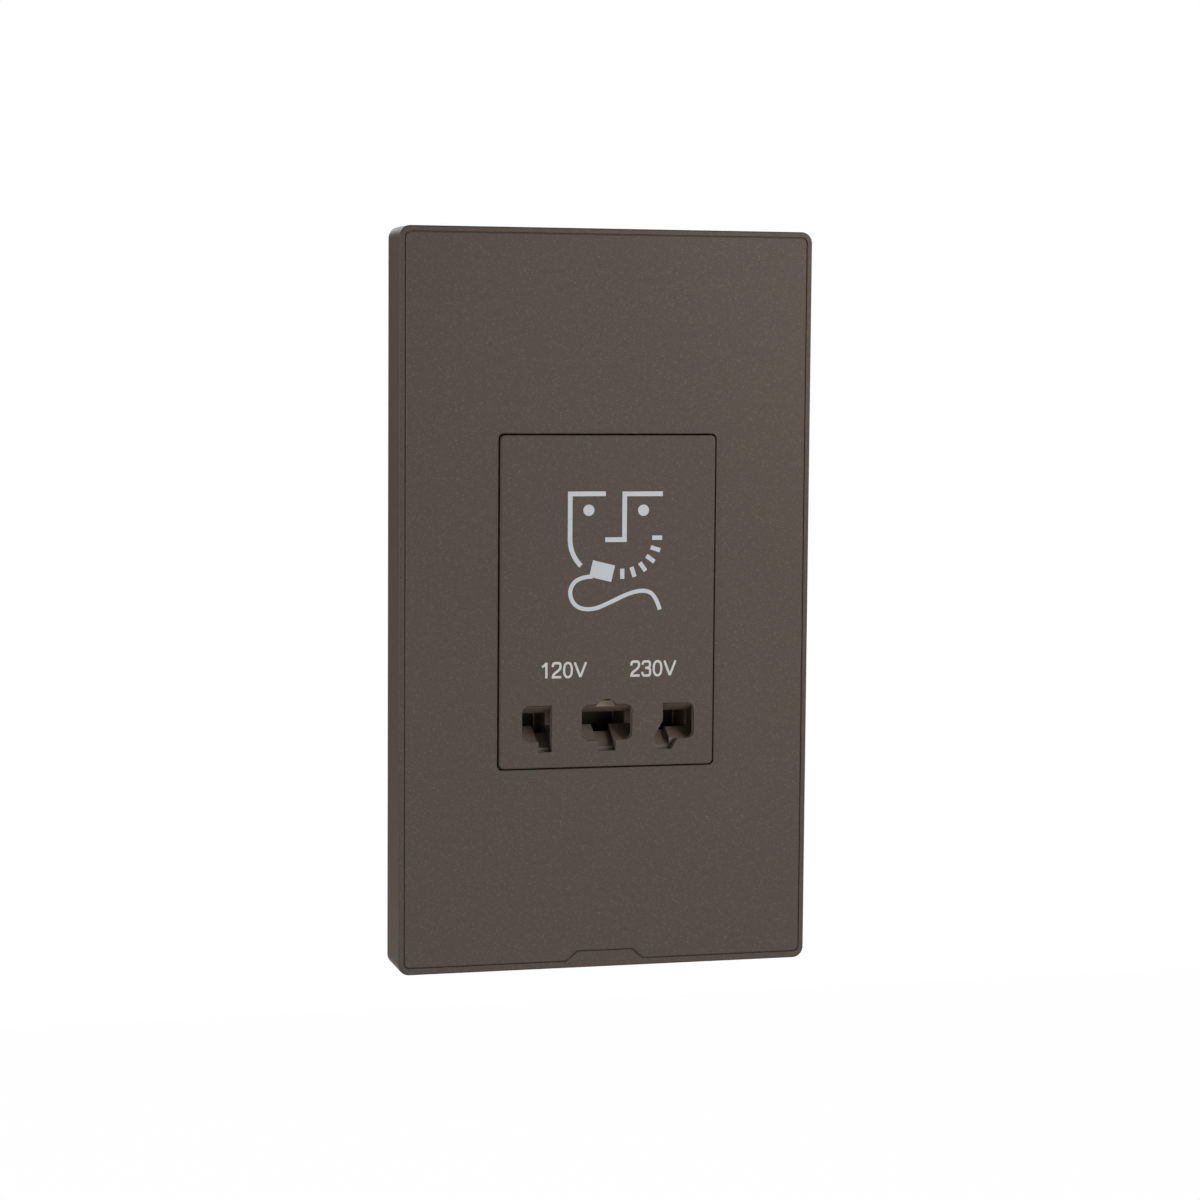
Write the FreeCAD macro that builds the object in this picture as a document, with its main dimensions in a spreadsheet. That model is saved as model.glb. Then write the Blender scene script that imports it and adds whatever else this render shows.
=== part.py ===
import FreeCAD, Part
import math
import os
import types
import Sketcher

# Wall-mounted shaver supply socket for two voltages, on a British two-gang box.
# The origin is on the wall plane, midway between the two box fixing screws. +Z is up,
# +X is to the right seen from the room, and the front faces -Y. A level measured from
# the wall towards the room is called "front" below and runs along -Y.

dimensions = {
    # Cover: an outer frame with side walls, and a front panel seated in it
    "plate_width": 86.0,
    "fixing_pitch": 120.6,
    "fixing_margin": 14.95,  # fixing screw to the plate's end
    "plate_depth": 12.0,  # wall to the panel's face
    "plate_corner": 2.25,
    "plate_wall": 2.0,
    "rim_setback": 0.2,  # rim behind the panel's face
    "rim_width": 1.05,
    "rim_width_bottom": 1.35,
    "rim_edge": 0.4,
    "panel_thickness": 2.0,
    "groove_width": 0.25,
    "groove_depth": 0.4,
    "panel_edge": 0.1,
    "web_thickness": 1.6,
    "tab_base": 16.2,  # the rim's raised tab at the bottom, at its foot
    "tab_top": 11.4,
    "tab_height": 2.0,
    "fit_gap": 0.05,  # between seated pieces
    "reveal": 0.28,  # dark line round the socket module
    "peg_half": 1.2,  # welded pegs on the back of the panel
    "peg_head_half": 2.0,
    "peg_head": 0.8,
    "peg_side_inset": 6.5,
    "peg_end_inset": 9.25,
    "rib_height": 2.0,
    "rib_margin": 4.0,  # above and below the opening
    "rib_thickness": 1.2,
    # Support frame that screws to the wall box and carries the module
    "fixing_hole_radius": 2.0,
    "fixing_pad_radius": 5.5,
    "fixing_pad_height": 1.0,
    "support_side_gap": 3.0,  # to the cover's side walls
    "support_end_gap": 6.25,
    "support_corner": 3.0,
    "support_plate": 2.0,
    "flange_wall": 1.6,
    "flange_gap": 1.9,  # to the cover's ribs
    "collar_gap": 0.8,  # to the cover's web
    "collar_wall": 2.0,
    "module_gap": 0.2,  # module to collar
    "clip_inset": 7.0,  # clip lugs from the support frame's edge
    "clip_rise": 5.75,  # clips above and below the ribs
    "clip_width": 9.0,
    "clip_lug": 1.6,
    "clip_setback": 1.8,  # lugs behind the cover's web, fingers in front of the plate
    "clip_barb": 0.7,
    "clip_gap": 0.2,
    "clip_finger": 1.5,
    "snap_inset": 13.75,  # from the module's end
    "snap_width": 5.0,
    "snap_height": 1.6,
    "snap_reach": 0.9,
    "snap_setback": 1.8,
    # Socket module front
    "module_width": 45.0,
    "module_height": 67.5,
    "module_corner": 1.0,
    "module_edge": 0.3,
    "face_proud": 0.5,  # module face in front of the panel's face
    "face_skin": 1.65,
    "face_wall": 1.2,
    # Pin apertures
    "aperture_height": 7.4,
    "slot_drop": 2.15,
    "aperture_round": 1.5,
    "left_margin": 3.5,  # left aperture to the module's side wall
    "left_width": 6.2,
    "left_slot_width": 2.75,
    "centre_half": 5.35,
    "notch_half": 1.83,
    "bump_radius": 2.24,
    "bump_rise": 1.05,
    "right_margin": 2.85,
    "right_width": 6.65,
    "blade_slope": 0.577,  # sideways run for each unit of drop of a blade leaning 30 degrees
    "blade_start": 3.65,  # below the apertures' top
    "blade_reach": 1.65,
    "blade_run": 3.15,
    "blade_cut": 0.9,  # cut-off corner at the foot of the leaning slot
    # Sloping roof over the apertures, which guides the pins down to the contacts
    "roof_depth": 5.9,
    "roof_drop": 2.2,
    "roof_sheet": 1.2,
    "roof_side_gap": 0.1,
    "stop_height": 1.4,
    "stop_inset": 1.9,
    "stop_depth": 3.8,
    # Sprung shutter under the roof
    "shutter_travel": 2.5,
    "shutter_gap": 0.35,
    "shutter_depth": 4.2,
    "shutter_lap": 0.15,  # past the right aperture
    "shutter_tip": 0.1,  # below the slots
    "relief_gap": 0.15,
    "relief_wall": 0.5,  # left of the module's bottom wall under the shutter
    "ramp_rise": 2.6,
    "slot_ramp_drop": 1.5,
    "right_ramp_drop": 0.8,
    "cheek": 0.65,
    "ear_drop": 0.9,  # below the apertures' top
    "ear_height": 1.8,
    "ear_depth": 3.6,
    "ear_gap": 0.15,
    "arm_width": 2.85,
    "arm_depth": 3.2,
    "cam_slope": 0.5,  # switch travel for each unit of shutter travel
    "cam_gap": 0.05,
    "cam_lead": 0.7,
    "cam_margin": 1.6,
    # Return springs of the shutter
    "spring_radius": 0.75,
    "spring_wire": 0.32,
    "spring_turns": 6.0,
    "spring_inset": 0.95,  # spring axis from the module's inner wall
    # Rear housing
    "housing_gap": 0.2,
    "housing_wall": 1.3,
    "housing_setback": 0.35,  # behind the contact carrier's front
    "housing_corner": 1.5,
    "tower_half": 3.0,
    "tunnel_radius": 2.1,
    "lug_thickness": 2.5,
    "screw_side_inset": 3.6,  # from the module's side wall
    "screw_end_inset": 3.95,
    "screw_radius": 0.95,
    "screw_head_radius": 1.9,
    "screw_head": 1.6,
    "screw_length": 7.0,
    "boss_half": 2.2,
    "pilot_depth": 5.0,
    "vent_width": 1.6,
    "vent_length": 18.0,
    "vent_pitch": 3.6,
    # Contacts and their carrier
    "carrier_gap": 0.4,  # to the shutter in front and to the switch above
    "carrier_side_gap": 0.2,
    "carrier_overhang": 0.3,  # behind the switch
    "carrier_floor": 0.4,
    "carrier_floor_gap": 0.15,  # to the housing's bottom wall
    "channel_wall": 1.0,
    "channel_gap": 0.15,
    "contact_strip": 0.4,
    "contact_back_gap": 0.4,
    "contact_setback": 0.9,
    "contact_mouth": 4.8,
    "contact_side_gap": 0.4,
    "tag_width": 2.0,
    "tag_gap": 0.8,  # behind the carrier
    # Circuit board over the contacts
    "board_side_gap": 0.4,
    "board_overhang": 0.3,  # behind the switch's front
    "board_margin": 3.7,  # behind the supply bars
    "board_thickness": 1.6,
    "pin_reach": 0.5,  # pins above the board
    "pin_gap": 0.1,
    # Switch worked by the shutter
    "switch_setback": 3.5,  # behind the shutter
    "switch_side_gap": 0.1,  # to the housing's side wall
    "switch_length": 12.8,
    "switch_depth": 6.5,
    "switch_height": 5.8,
    "plunger_rise": 3.85,  # above the apertures' top
    "plunger_drop": 3.1,  # below the board
    "plunger_radius": 1.0,
    "plunger_chamfer": 0.8,
    "plunger_length": 4.8,
    "plunger_clearance": 0.08,
    "plunger_bore_depth": 5.2,
    "switch_pin": 0.8,
    "switch_pin_pitch": 4.7,
    # Isolating transformer. Its unit is a sixth of the core's height, as in the usual E and I shape
    "core_board_gap": 0.7,
    "core_top_gap": 0.35,
    "bobbin_setback": 1.0,  # behind the contacts' tags
    "bobbin_side_gap": 2.2,
    "bobbin_gap": 0.2,
    "bobbin_wall": 0.8,
    "rail_side_gap": 1.6,  # to the core's side
    "rail_board_gap": 0.5,
    "rail_thickness": 3.0,
    "coil_gap": 0.1,
    "coil_margin": 0.9,
    "coil_corner": 2.0,
    "tape_thickness": 0.3,
    "tape_margin": 0.6,
    "clamp_thickness": 0.8,
    "clamp_width": 16.0,
    "clamp_wing_margin": 3.0,
    "clamp_wing_height": 9.0,
    "clamp_boss": 0.9,
    "clamp_screw_radius": 1.2,
    "clamp_screw_head_radius": 2.2,
    "clamp_screw_head": 1.5,
    "clamp_screw_gap": 1.2,  # from the head to the core's side
    "cutout_inset": 2.4,  # from the board's side
    "cutout_gap": 2.7,  # to the bobbin's rails at both ends
    "cutout_side_gap": 1.4,  # to the core's side
    "cutout_height": 5.0,
    # Supply terminals
    "terminal_x": 9.0,
    "terminal_width": 7.0,
    "terminal_height": 8.0,
    "terminal_length": 9.0,
    "terminal_gap": 1.1,  # to the housing's back wall
    "terminal_drop": 4.5,  # below the board
    "wire_bore": 1.75,
    "clamp_bore": 1.5,
    "terminal_screw_head_radius": 2.0,
    "terminal_screw_head": 1.8,
    "terminal_screw_length": 4.2,
    "entry_radius": 2.4,
    "busbar_thickness": 0.8,
    "busbar_width": 4.0,
    "busbar_inset": 1.4,
    "busbar_foot": 5.0,
    "ledge_reach": 1.6,
    "ledge_height": 1.5,
    "ledge_margin": 6.0,
    "hook_x": 10.0,
    "hook_setback": 0.1,
    "cradle_wall": 1.0,
    "cradle_gap": 0.2,
    "cradle_length": 9.0,
}


# A length together with the spreadsheet expression that it comes from
class Size:
    def __init__(self, value, text):
        self.value = value
        self.text = text

    def __add__(self, other):
        return Size(self.value + number(other), f"({self.text} + {words(other)})")

    def __radd__(self, other):
        return Size(number(other) + self.value, f"({words(other)} + {self.text})")

    def __sub__(self, other):
        return Size(self.value - number(other), f"({self.text} - {words(other)})")

    def __rsub__(self, other):
        return Size(number(other) - self.value, f"({words(other)} - {self.text})")

    def __mul__(self, other):
        return Size(self.value * number(other), f"({self.text} * {words(other)})")

    def __rmul__(self, other):
        return Size(number(other) * self.value, f"({words(other)} * {self.text})")

    def __truediv__(self, other):
        return Size(self.value / number(other), f"({self.text} / {words(other)})")

    def __neg__(self):
        return Size(-self.value, f"(0 - {self.text})")


def number(size):
    return size.value if isinstance(size, Size) else float(size)


def words(size):
    return size.text if isinstance(size, Size) else repr(size)


# Ties an object's property to the cells that its size comes from
def bind(item, path, size):
    if isinstance(size, Size):
        item.setExpression(path, size.text)


doc = FreeCAD.newDocument("ShaverSocket")
sheet = doc.addObject("Spreadsheet::Sheet", "Sizes")
s = types.SimpleNamespace()
for row, (name, value) in enumerate(dimensions.items(), start=1):
    sheet.set(f"A{row}", name.replace("_", " "))
    sheet.set(f"B{row}", str(value))
    sheet.setAlias(f"B{row}", name)
    setattr(s, name, Size(value, f"Sizes.{name}"))
doc.recompute()

pieces = []


def rect(x0, z0, x1, z1):
    return [(x0, z0), (x1, z0), (x1, z1), (x0, z1)]


def block(half_width, low, high):
    return rect(-half_width, low, half_width, high)


def square(x, z, half):
    return rect(x - half, z - half, x + half, z + half)


def mirrored(points):
    return [(-x, z) for x, z in reversed(points)]


# One separate piece of the socket, made of sketches and features in a body of its own
class Piece:
    def __init__(self, name):
        self.body = doc.addObject("PartDesign::Body", name)
        self.body.Label = name
        pieces.append(self.body)

    def feature(self, kind, name):
        return self.body.newObject("PartDesign::" + kind, f"{self.body.Name}_{name}")

    # Outlines are closed polygons, or circles given as (x, y, radius)
    def sketch(self, name, plane, level, outlines):
        sketch = self.body.newObject("Sketcher::SketchObject", f"{self.body.Name}_{name}_sketch")
        origin = next(f for f in self.body.Origin.OriginFeatures if f.Role == plane + "_Plane")
        sketch.AttachmentSupport = (origin, [""])
        sketch.MapMode = "FlatFace"
        offset = FreeCAD.Vector(0, 0, number(level))
        sketch.AttachmentOffset = FreeCAD.Placement(offset, FreeCAD.Rotation())
        bind(sketch, "AttachmentOffset.Base.z", level)
        for outline in outlines:
            if isinstance(outline, tuple):
                add_circle(sketch, *outline)
            else:
                add_polygon(sketch, outline)
        return sketch

    def finish(self, feature):
        self.body.Tip = feature
        doc.recompute()
        if "Invalid" in feature.State or "Error" in feature.State or not feature.Shape.isValid():
            raise RuntimeError(f"{feature.Name} failed")

    # Adds material from level along the plane's own normal
    def pad(self, name, plane, level, length, *outlines):
        sketch = self.sketch(name, plane, level, outlines)
        pad = self.feature("Pad", name)
        pad.Profile = sketch
        pad.Length = number(length)
        bind(pad, "Length", length)
        self.finish(pad)

    # Takes material away from level, against the plane's normal
    def pocket(self, name, plane, level, depth, *outlines):
        before = self.body.Shape.Volume
        sketch = self.sketch(name, plane, level, outlines)
        pocket = self.feature("Pocket", name)
        pocket.Profile = sketch
        pocket.Length = number(depth)
        bind(pocket, "Length", depth)
        self.finish(pocket)
        if self.body.Shape.Volume > before - 1e-6:
            raise RuntimeError(f"{pocket.Name} cuts nothing")

    def round(self, name, radius, picker):
        self.edge_feature("Fillet", "Radius", name, radius, picker)

    def chamfer(self, name, size, picker):
        self.edge_feature("Chamfer", "Size", name, size, picker)

    def edge_feature(self, kind, measure, name, size, picker):
        shape = self.body.Tip.Shape
        picked = picker(shape)
        edges = [
            f"Edge{n}"
            for n, edge in enumerate(shape.Edges, start=1)
            if any(edge.isSame(other) for other in picked)
        ]
        if not edges:
            raise RuntimeError(f"{name} finds no edge")
        base = self.body.Tip
        feature = self.feature(kind, name)
        feature.Base = (base, edges)
        setattr(feature, measure, number(size))
        bind(feature, measure, size)
        self.finish(feature)


def add_polygon(sketch, points):
    first = sketch.GeometryCount
    count = len(points)
    corners = [FreeCAD.Vector(number(x), number(y), 0) for x, y in points]
    for n in range(count):
        sketch.addGeometry(Part.LineSegment(corners[n], corners[(n + 1) % count]), False)
    for n in range(count):
        following = first + (n + 1) % count
        sketch.addConstraint(Sketcher.Constraint("Coincident", first + n, 2, following, 1))
    for n, (x, y) in enumerate(points):
        for kind, size in (("DistanceX", x), ("DistanceY", y)):
            index = sketch.addConstraint(
                Sketcher.Constraint(kind, -1, 1, first + n, 1, number(size))
            )
            bind(sketch, f"Constraints[{index}]", size)


def add_circle(sketch, x, y, radius):
    centre = FreeCAD.Vector(number(x), number(y), 0)
    up = FreeCAD.Vector(0, 0, 1)
    ring = sketch.addGeometry(Part.Circle(centre, up, number(radius)), False)
    for kind, size in (("DistanceX", x), ("DistanceY", y)):
        index = sketch.addConstraint(Sketcher.Constraint(kind, -1, 1, ring, 3, number(size)))
        bind(sketch, f"Constraints[{index}]", size)
    index = sketch.addConstraint(Sketcher.Constraint("Radius", ring, number(radius)))
    bind(sketch, f"Constraints[{index}]", radius)


# Picks straight edges that run front to back through the given (x, z) corners
def edges_along_y(corners):
    def picker(shape):
        picked = []
        for edge in shape.Edges:
            start, end = edge.Vertexes[0].Point, edge.Vertexes[-1].Point
            if math.hypot(start.x - end.x, start.z - end.z) > 1e-5:
                continue
            if any(math.hypot(start.x - number(x), start.z - number(z)) < 1e-3 for x, z in corners):
                picked.append(edge)
        return picked

    return picker


# Picks every edge that lies in the plane at this front level
def edges_at_front(level):
    def picker(shape):
        plane = -number(level)
        boxes = ((edge, edge.BoundBox) for edge in shape.Edges)
        return [e for e, box in boxes if max(abs(box.YMin - plane), abs(box.YMax - plane)) < 1e-5]

    return picker


# Picks the outer loop of the widest face in the plane at this front level
def outer_loop(level):
    def picker(shape):
        plane = -number(level)
        boxes = ((face, face.BoundBox) for face in shape.Faces)
        flat = [
            (box.XLength, face)
            for face, box in boxes
            if max(abs(box.YMin - plane), abs(box.YMax - plane)) < 1e-5
        ]
        return max(flat, key=lambda pair: pair[0])[1].OuterWire.Edges

    return picker


# Levels towards the room that several pieces share
rim_front = s.plate_depth - s.rim_setback
seat_front = s.plate_depth - s.panel_thickness
web_back = seat_front - s.web_thickness
flange_front = web_back - s.rib_height - s.flange_gap
collar_front = web_back - s.collar_gap
snap_front = collar_front - s.snap_setback
lug_front = web_back - s.clip_setback
barb_height = (lug_front - s.support_plate - s.clip_setback) / 2
face_front = s.plate_depth + s.face_proud
skin_back = face_front - s.face_skin
module_back = s.support_plate
shutter_front = skin_back - s.shutter_gap
shutter_back = shutter_front - s.shutter_depth
carrier_front = shutter_back - s.carrier_gap
contact_front = carrier_front - s.contact_setback
housing_front = carrier_front - s.housing_setback
hook_front = housing_front - s.hook_setback
switch_front = shutter_back - s.switch_setback
switch_back = switch_front - s.switch_depth
carrier_back = switch_back - s.carrier_overhang
carrier_depth = carrier_front - carrier_back
channel_depth = carrier_depth - s.channel_wall
tag_back = carrier_back - s.tag_gap
board_front = switch_front - s.board_overhang

# Half widths and half heights
half_width = s.plate_width / 2
half_height = s.fixing_pitch / 2 + s.fixing_margin
support_half_width = half_width - s.plate_wall - s.support_side_gap
support_half_height = half_height - s.plate_wall - s.support_end_gap
module_half_width = s.module_width / 2
module_half_height = s.module_height / 2
inner_half_width = module_half_width - s.face_wall
inner_half_height = module_half_height - s.face_wall
housing_half_width = inner_half_width - s.housing_gap
housing_half_height = inner_half_height - s.housing_gap
room_half_width = housing_half_width - s.housing_wall
room_half_height = housing_half_height - s.housing_wall
rib_z = module_half_height + s.reveal * 2 + s.rib_margin
clip_x = support_half_width - s.clip_inset
clip_z = rib_z + s.rib_thickness + s.clip_rise
snap_z = module_half_height - s.snap_inset
screw_x = inner_half_width - s.screw_side_inset
screw_z = inner_half_height - s.screw_end_inset

# Places of the apertures, as distances down and sideways from the module's centre
relief_low = module_half_height - s.relief_wall
shutter_bottom = relief_low - s.relief_gap - s.shutter_travel
slot_bottom = shutter_bottom - s.shutter_tip
aperture_bottom = slot_bottom - s.slot_drop
aperture_top = aperture_bottom - s.aperture_height
left_outer = inner_half_width - s.left_margin
left_inner = left_outer - s.left_width
left_slot = left_inner + s.left_slot_width
right_outer = inner_half_width - s.right_margin
right_inner = right_outer - s.right_width
blade_outer = right_inner - s.blade_reach
blade_knee = right_inner + s.blade_run
blade_top = aperture_top + s.blade_start

# The shutter behind them, its arm, and the switch and the board above
shutter_half = right_outer + s.shutter_lap
cheek_outer = shutter_half + s.cheek
ear_top = aperture_top + s.ear_drop
plunger_z = s.plunger_rise - aperture_top
plunger_x = cheek_outer - s.arm_width / 2
arm_bottom = s.cam_lead - plunger_z
arm_top = -plunger_z - s.shutter_travel - s.cam_margin
board_bottom = plunger_z + s.plunger_drop
board_top = board_bottom + s.board_thickness
pin_top_z = board_top + s.pin_reach
switch_right = room_half_width - s.switch_side_gap
switch_left = switch_right - s.switch_length
switch_middle = switch_right - s.switch_length / 2
switch_pin_y = s.switch_depth / 2 - switch_front
carrier_top = s.switch_height + s.carrier_gap - board_bottom
carrier_bottom = room_half_height - s.carrier_floor_gap
board_half = room_half_width - s.board_side_gap

# The transformer, measured along y from the front of its core
core_room = room_half_height - s.core_top_gap - board_top - s.core_board_gap
core_unit = (core_room - s.clamp_thickness * 2) / 6
core_centre_z = board_top + s.core_board_gap + s.clamp_thickness + core_unit * 3
window_front = s.bobbin_setback - tag_back
core_front = window_front - core_unit
window_back = window_front + core_unit * 3
core_back = window_back + core_unit
housing_depth = core_back + s.clamp_thickness + s.clamp_boss + s.housing_wall
flange_x = room_half_width - s.bobbin_side_gap
flange_z = core_unit * 2 - s.bobbin_gap
stack_half = flange_x - core_unit + s.bobbin_gap
tube_x = stack_half + s.bobbin_gap + s.bobbin_wall
tube_z = core_unit + s.bobbin_gap + s.bobbin_wall
bobbin_length = core_unit * 3
divider_front = window_front + (bobbin_length - s.bobbin_wall) / 2
rail_width = flange_x - stack_half - s.rail_side_gap
clamp_hole_x = stack_half + s.clamp_screw_gap + s.clamp_screw_head_radius

# The supply terminals at the back
terminal_back = housing_depth - s.housing_wall - s.terminal_gap
terminal_top = board_bottom - s.terminal_drop
busbar_y = terminal_back - s.terminal_length + s.busbar_inset
board_back = busbar_y + s.busbar_thickness + s.board_margin


# The panel's outline, set in from the plate's edge, with the notch over the tab
def panel_outline(inset):
    side = half_width - s.rim_width - inset
    top = half_height - s.rim_width - inset
    foot = -half_height + s.rim_width_bottom + inset
    notch_top = foot + s.tab_height
    return [
        (-side, foot),
        (-s.tab_base / 2 - inset, foot),
        (-s.tab_top / 2 - inset, notch_top),
        (s.tab_top / 2 + inset, notch_top),
        (s.tab_base / 2 + inset, foot),
        (side, foot),
        (side, top),
        (-side, top),
    ]


def outer_corners(outline):
    return [outline[0], outline[5], outline[6], outline[7]]


# Where the panel's pegs go through the cover frame
def peg_places():
    x = half_width - s.peg_side_inset
    z = half_height - s.peg_end_inset
    return [(x, z), (-x, z), (-x, -z), (x, -z)]


def cover_frame():
    piece = Piece("cover_frame")
    outline = block(half_width, -half_height, half_height)
    piece.pad("walls", "XZ", 0, rim_front, outline)
    piece.round("corners", s.plate_corner, edges_along_y(outline))
    recess = panel_outline(0)
    piece.pocket("recess", "XZ", rim_front, rim_front - seat_front, recess)
    piece.round("recess_corners", s.plate_corner - s.rim_width, edges_along_y(outer_corners(recess)))
    hollow = block(
        half_width - s.plate_wall, -half_height + s.plate_wall, half_height - s.plate_wall
    )
    piece.pocket("hollow", "XZ", web_back, web_back, hollow)
    opening_x = module_half_width + s.reveal * 2
    opening_z = module_half_height + s.reveal * 2
    piece.pocket(
        "opening", "XZ", seat_front, s.web_thickness, block(opening_x, -opening_z, opening_z)
    )
    holes = [square(x, z, s.peg_half + s.fit_gap) for x, z in peg_places()]
    piece.pocket("peg_holes", "XZ", seat_front, s.web_thickness, *holes)
    # Stiffening ribs across the back of the web, above and below the opening
    rib_x = half_width - s.plate_wall
    upper = block(rib_x, rib_z, rib_z + s.rib_thickness)
    lower = block(rib_x, -rib_z - s.rib_thickness, -rib_z)
    piece.pad("ribs", "XZ", web_back - s.rib_height, s.rib_height, upper, lower)
    # Four fingers, with barbs that hook under those of the support frame
    inner = clip_x + s.clip_barb + s.clip_gap
    outer = inner + s.clip_finger
    hook_top = lug_front - barb_height
    hook_bottom = hook_top - barb_height
    hook_tip = clip_x + s.clip_gap / 2
    finger = [
        (inner, -web_back),
        (outer, -web_back),
        (outer, -hook_bottom),
        (inner, -hook_bottom),
        (hook_tip, -hook_top),
        (inner, -hook_top),
    ]
    for side, name in ((1, "upper"), (-1, "lower")):
        foot = side * clip_z - s.clip_width / 2
        piece.pad(f"{name}_fingers", "XY", foot, s.clip_width, finger, mirrored(finger))
    piece.round("rim_edge", s.rim_edge, outer_loop(rim_front))
    return piece


def cover_panel():
    piece = Piece("cover_panel")
    base = panel_outline(s.fit_gap)
    top = panel_outline(s.groove_width)
    corner = s.plate_corner - s.rim_width
    shoulder = s.plate_depth - s.groove_depth
    piece.pad("face", "XZ", shoulder, s.groove_depth, top)
    piece.round("face_corners", corner - s.groove_width / 2, edges_along_y(outer_corners(top)))
    piece.pad("base", "XZ", seat_front, shoulder - seat_front, base)
    piece.round("base_corners", corner, edges_along_y(outer_corners(base)))
    opening_x = module_half_width + s.reveal
    opening_z = module_half_height + s.reveal
    opening = block(opening_x, -opening_z, opening_z)
    piece.pocket("opening", "XZ", s.plate_depth, s.panel_thickness, opening)
    piece.round("opening_corners", s.module_corner, edges_along_y(opening))
    pegs = [square(x, z, s.peg_half) for x, z in peg_places()]
    heads = [square(x, z, s.peg_head_half) for x, z in peg_places()]
    piece.pad("pegs", "XZ", web_back, s.web_thickness, *pegs)
    piece.pad("peg_heads", "XZ", web_back - s.peg_head, s.peg_head, *heads)
    piece.chamfer("edges", s.panel_edge, edges_at_front(s.plate_depth))
    return piece


def support_frame():
    piece = Piece("support_frame")
    half_x = support_half_width
    half_z = support_half_height
    outline = block(half_x, -half_z, half_z)
    piece.pad("plate", "XZ", 0, flange_front, outline)
    piece.round("corners", s.support_corner, edges_along_y(outline))
    well = block(half_x - s.flange_wall, -half_z + s.flange_wall, half_z - s.flange_wall)
    piece.pocket("well", "XZ", flange_front, flange_front - s.support_plate, well)
    collar_x = module_half_width + s.module_gap + s.collar_wall
    collar_z = module_half_height + s.module_gap + s.collar_wall
    collar = block(collar_x, -collar_z, collar_z)
    piece.pad("collar", "XZ", s.support_plate, collar_front - s.support_plate, collar)
    seat_x = module_half_width + s.module_gap
    seat_z = module_half_height + s.module_gap
    seat = block(seat_x, -seat_z, seat_z)
    piece.pocket("seat", "XZ", collar_front, collar_front - s.support_plate, seat)
    body_x = inner_half_width
    body_z = inner_half_height
    piece.pocket("through", "XZ", s.support_plate, s.support_plate, block(body_x, -body_z, body_z))
    holes = [(0, side * s.fixing_pitch / 2, s.fixing_hole_radius) for side in (1, -1)]
    pads = [(0, side * s.fixing_pitch / 2, s.fixing_pad_radius) for side in (1, -1)]
    piece.pad("fixing_pads", "XZ", s.support_plate, s.fixing_pad_height, *pads)
    total = s.support_plate + s.fixing_pad_height
    piece.pocket("fixing_holes", "XZ", total, total, *holes)
    # Lugs that the cover's fingers hook on to
    inner = clip_x - s.clip_lug
    barb_bottom = lug_front - barb_height
    lug = [
        (inner, -s.support_plate),
        (clip_x, -s.support_plate),
        (clip_x, -barb_bottom),
        (clip_x + s.clip_barb, -barb_bottom),
        (clip_x, -lug_front),
        (inner, -lug_front),
    ]
    for side, name in ((1, "upper"), (-1, "lower")):
        foot = side * clip_z - s.clip_width / 2
        piece.pad(f"{name}_lugs", "XY", foot, s.clip_width, lug, mirrored(lug))
    # Windows in the collar that the module's snaps spring into
    window_top = snap_front + s.module_gap
    window_bottom = snap_front - s.snap_height - s.module_gap
    span = s.snap_width / 2 + s.module_gap
    for side, name in ((1, "upper"), (-1, "lower")):
        window = rect(-collar_x, -window_top, collar_x, -window_bottom)
        level = side * snap_z + span
        piece.pocket(f"{name}_windows", "XY", level, span * 2, window)
    return piece


def left_aperture():
    return [
        (-left_outer, -aperture_top),
        (-left_inner, -aperture_top),
        (-left_inner, -slot_bottom),
        (-left_slot, -slot_bottom),
        (-left_slot, -aperture_bottom),
        (-left_outer, -aperture_bottom),
    ]


def centre_aperture():
    return [
        (-s.centre_half, -aperture_top),
        (s.centre_half, -aperture_top),
        (s.centre_half, -aperture_bottom),
        (s.notch_half, -aperture_bottom),
        (s.notch_half, -slot_bottom),
        (-s.notch_half, -slot_bottom),
        (-s.notch_half, -aperture_bottom),
        (-s.centre_half, -aperture_bottom),
    ]


def blade_lobe():
    drop = (right_inner - blade_outer) / s.blade_slope
    foot = blade_knee - (slot_bottom - aperture_bottom) * s.blade_slope
    return [
        (blade_knee, -aperture_bottom),
        (foot, -slot_bottom),
        (blade_outer + s.blade_cut, -slot_bottom),
        (blade_outer, -slot_bottom + s.blade_cut),
        (blade_outer, -blade_top - drop),
        (right_inner, -blade_top),
    ]


def right_aperture():
    return [
        (right_inner, -aperture_top),
        (right_outer, -aperture_top),
        (right_outer, -aperture_bottom),
    ] + blade_lobe()


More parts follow.
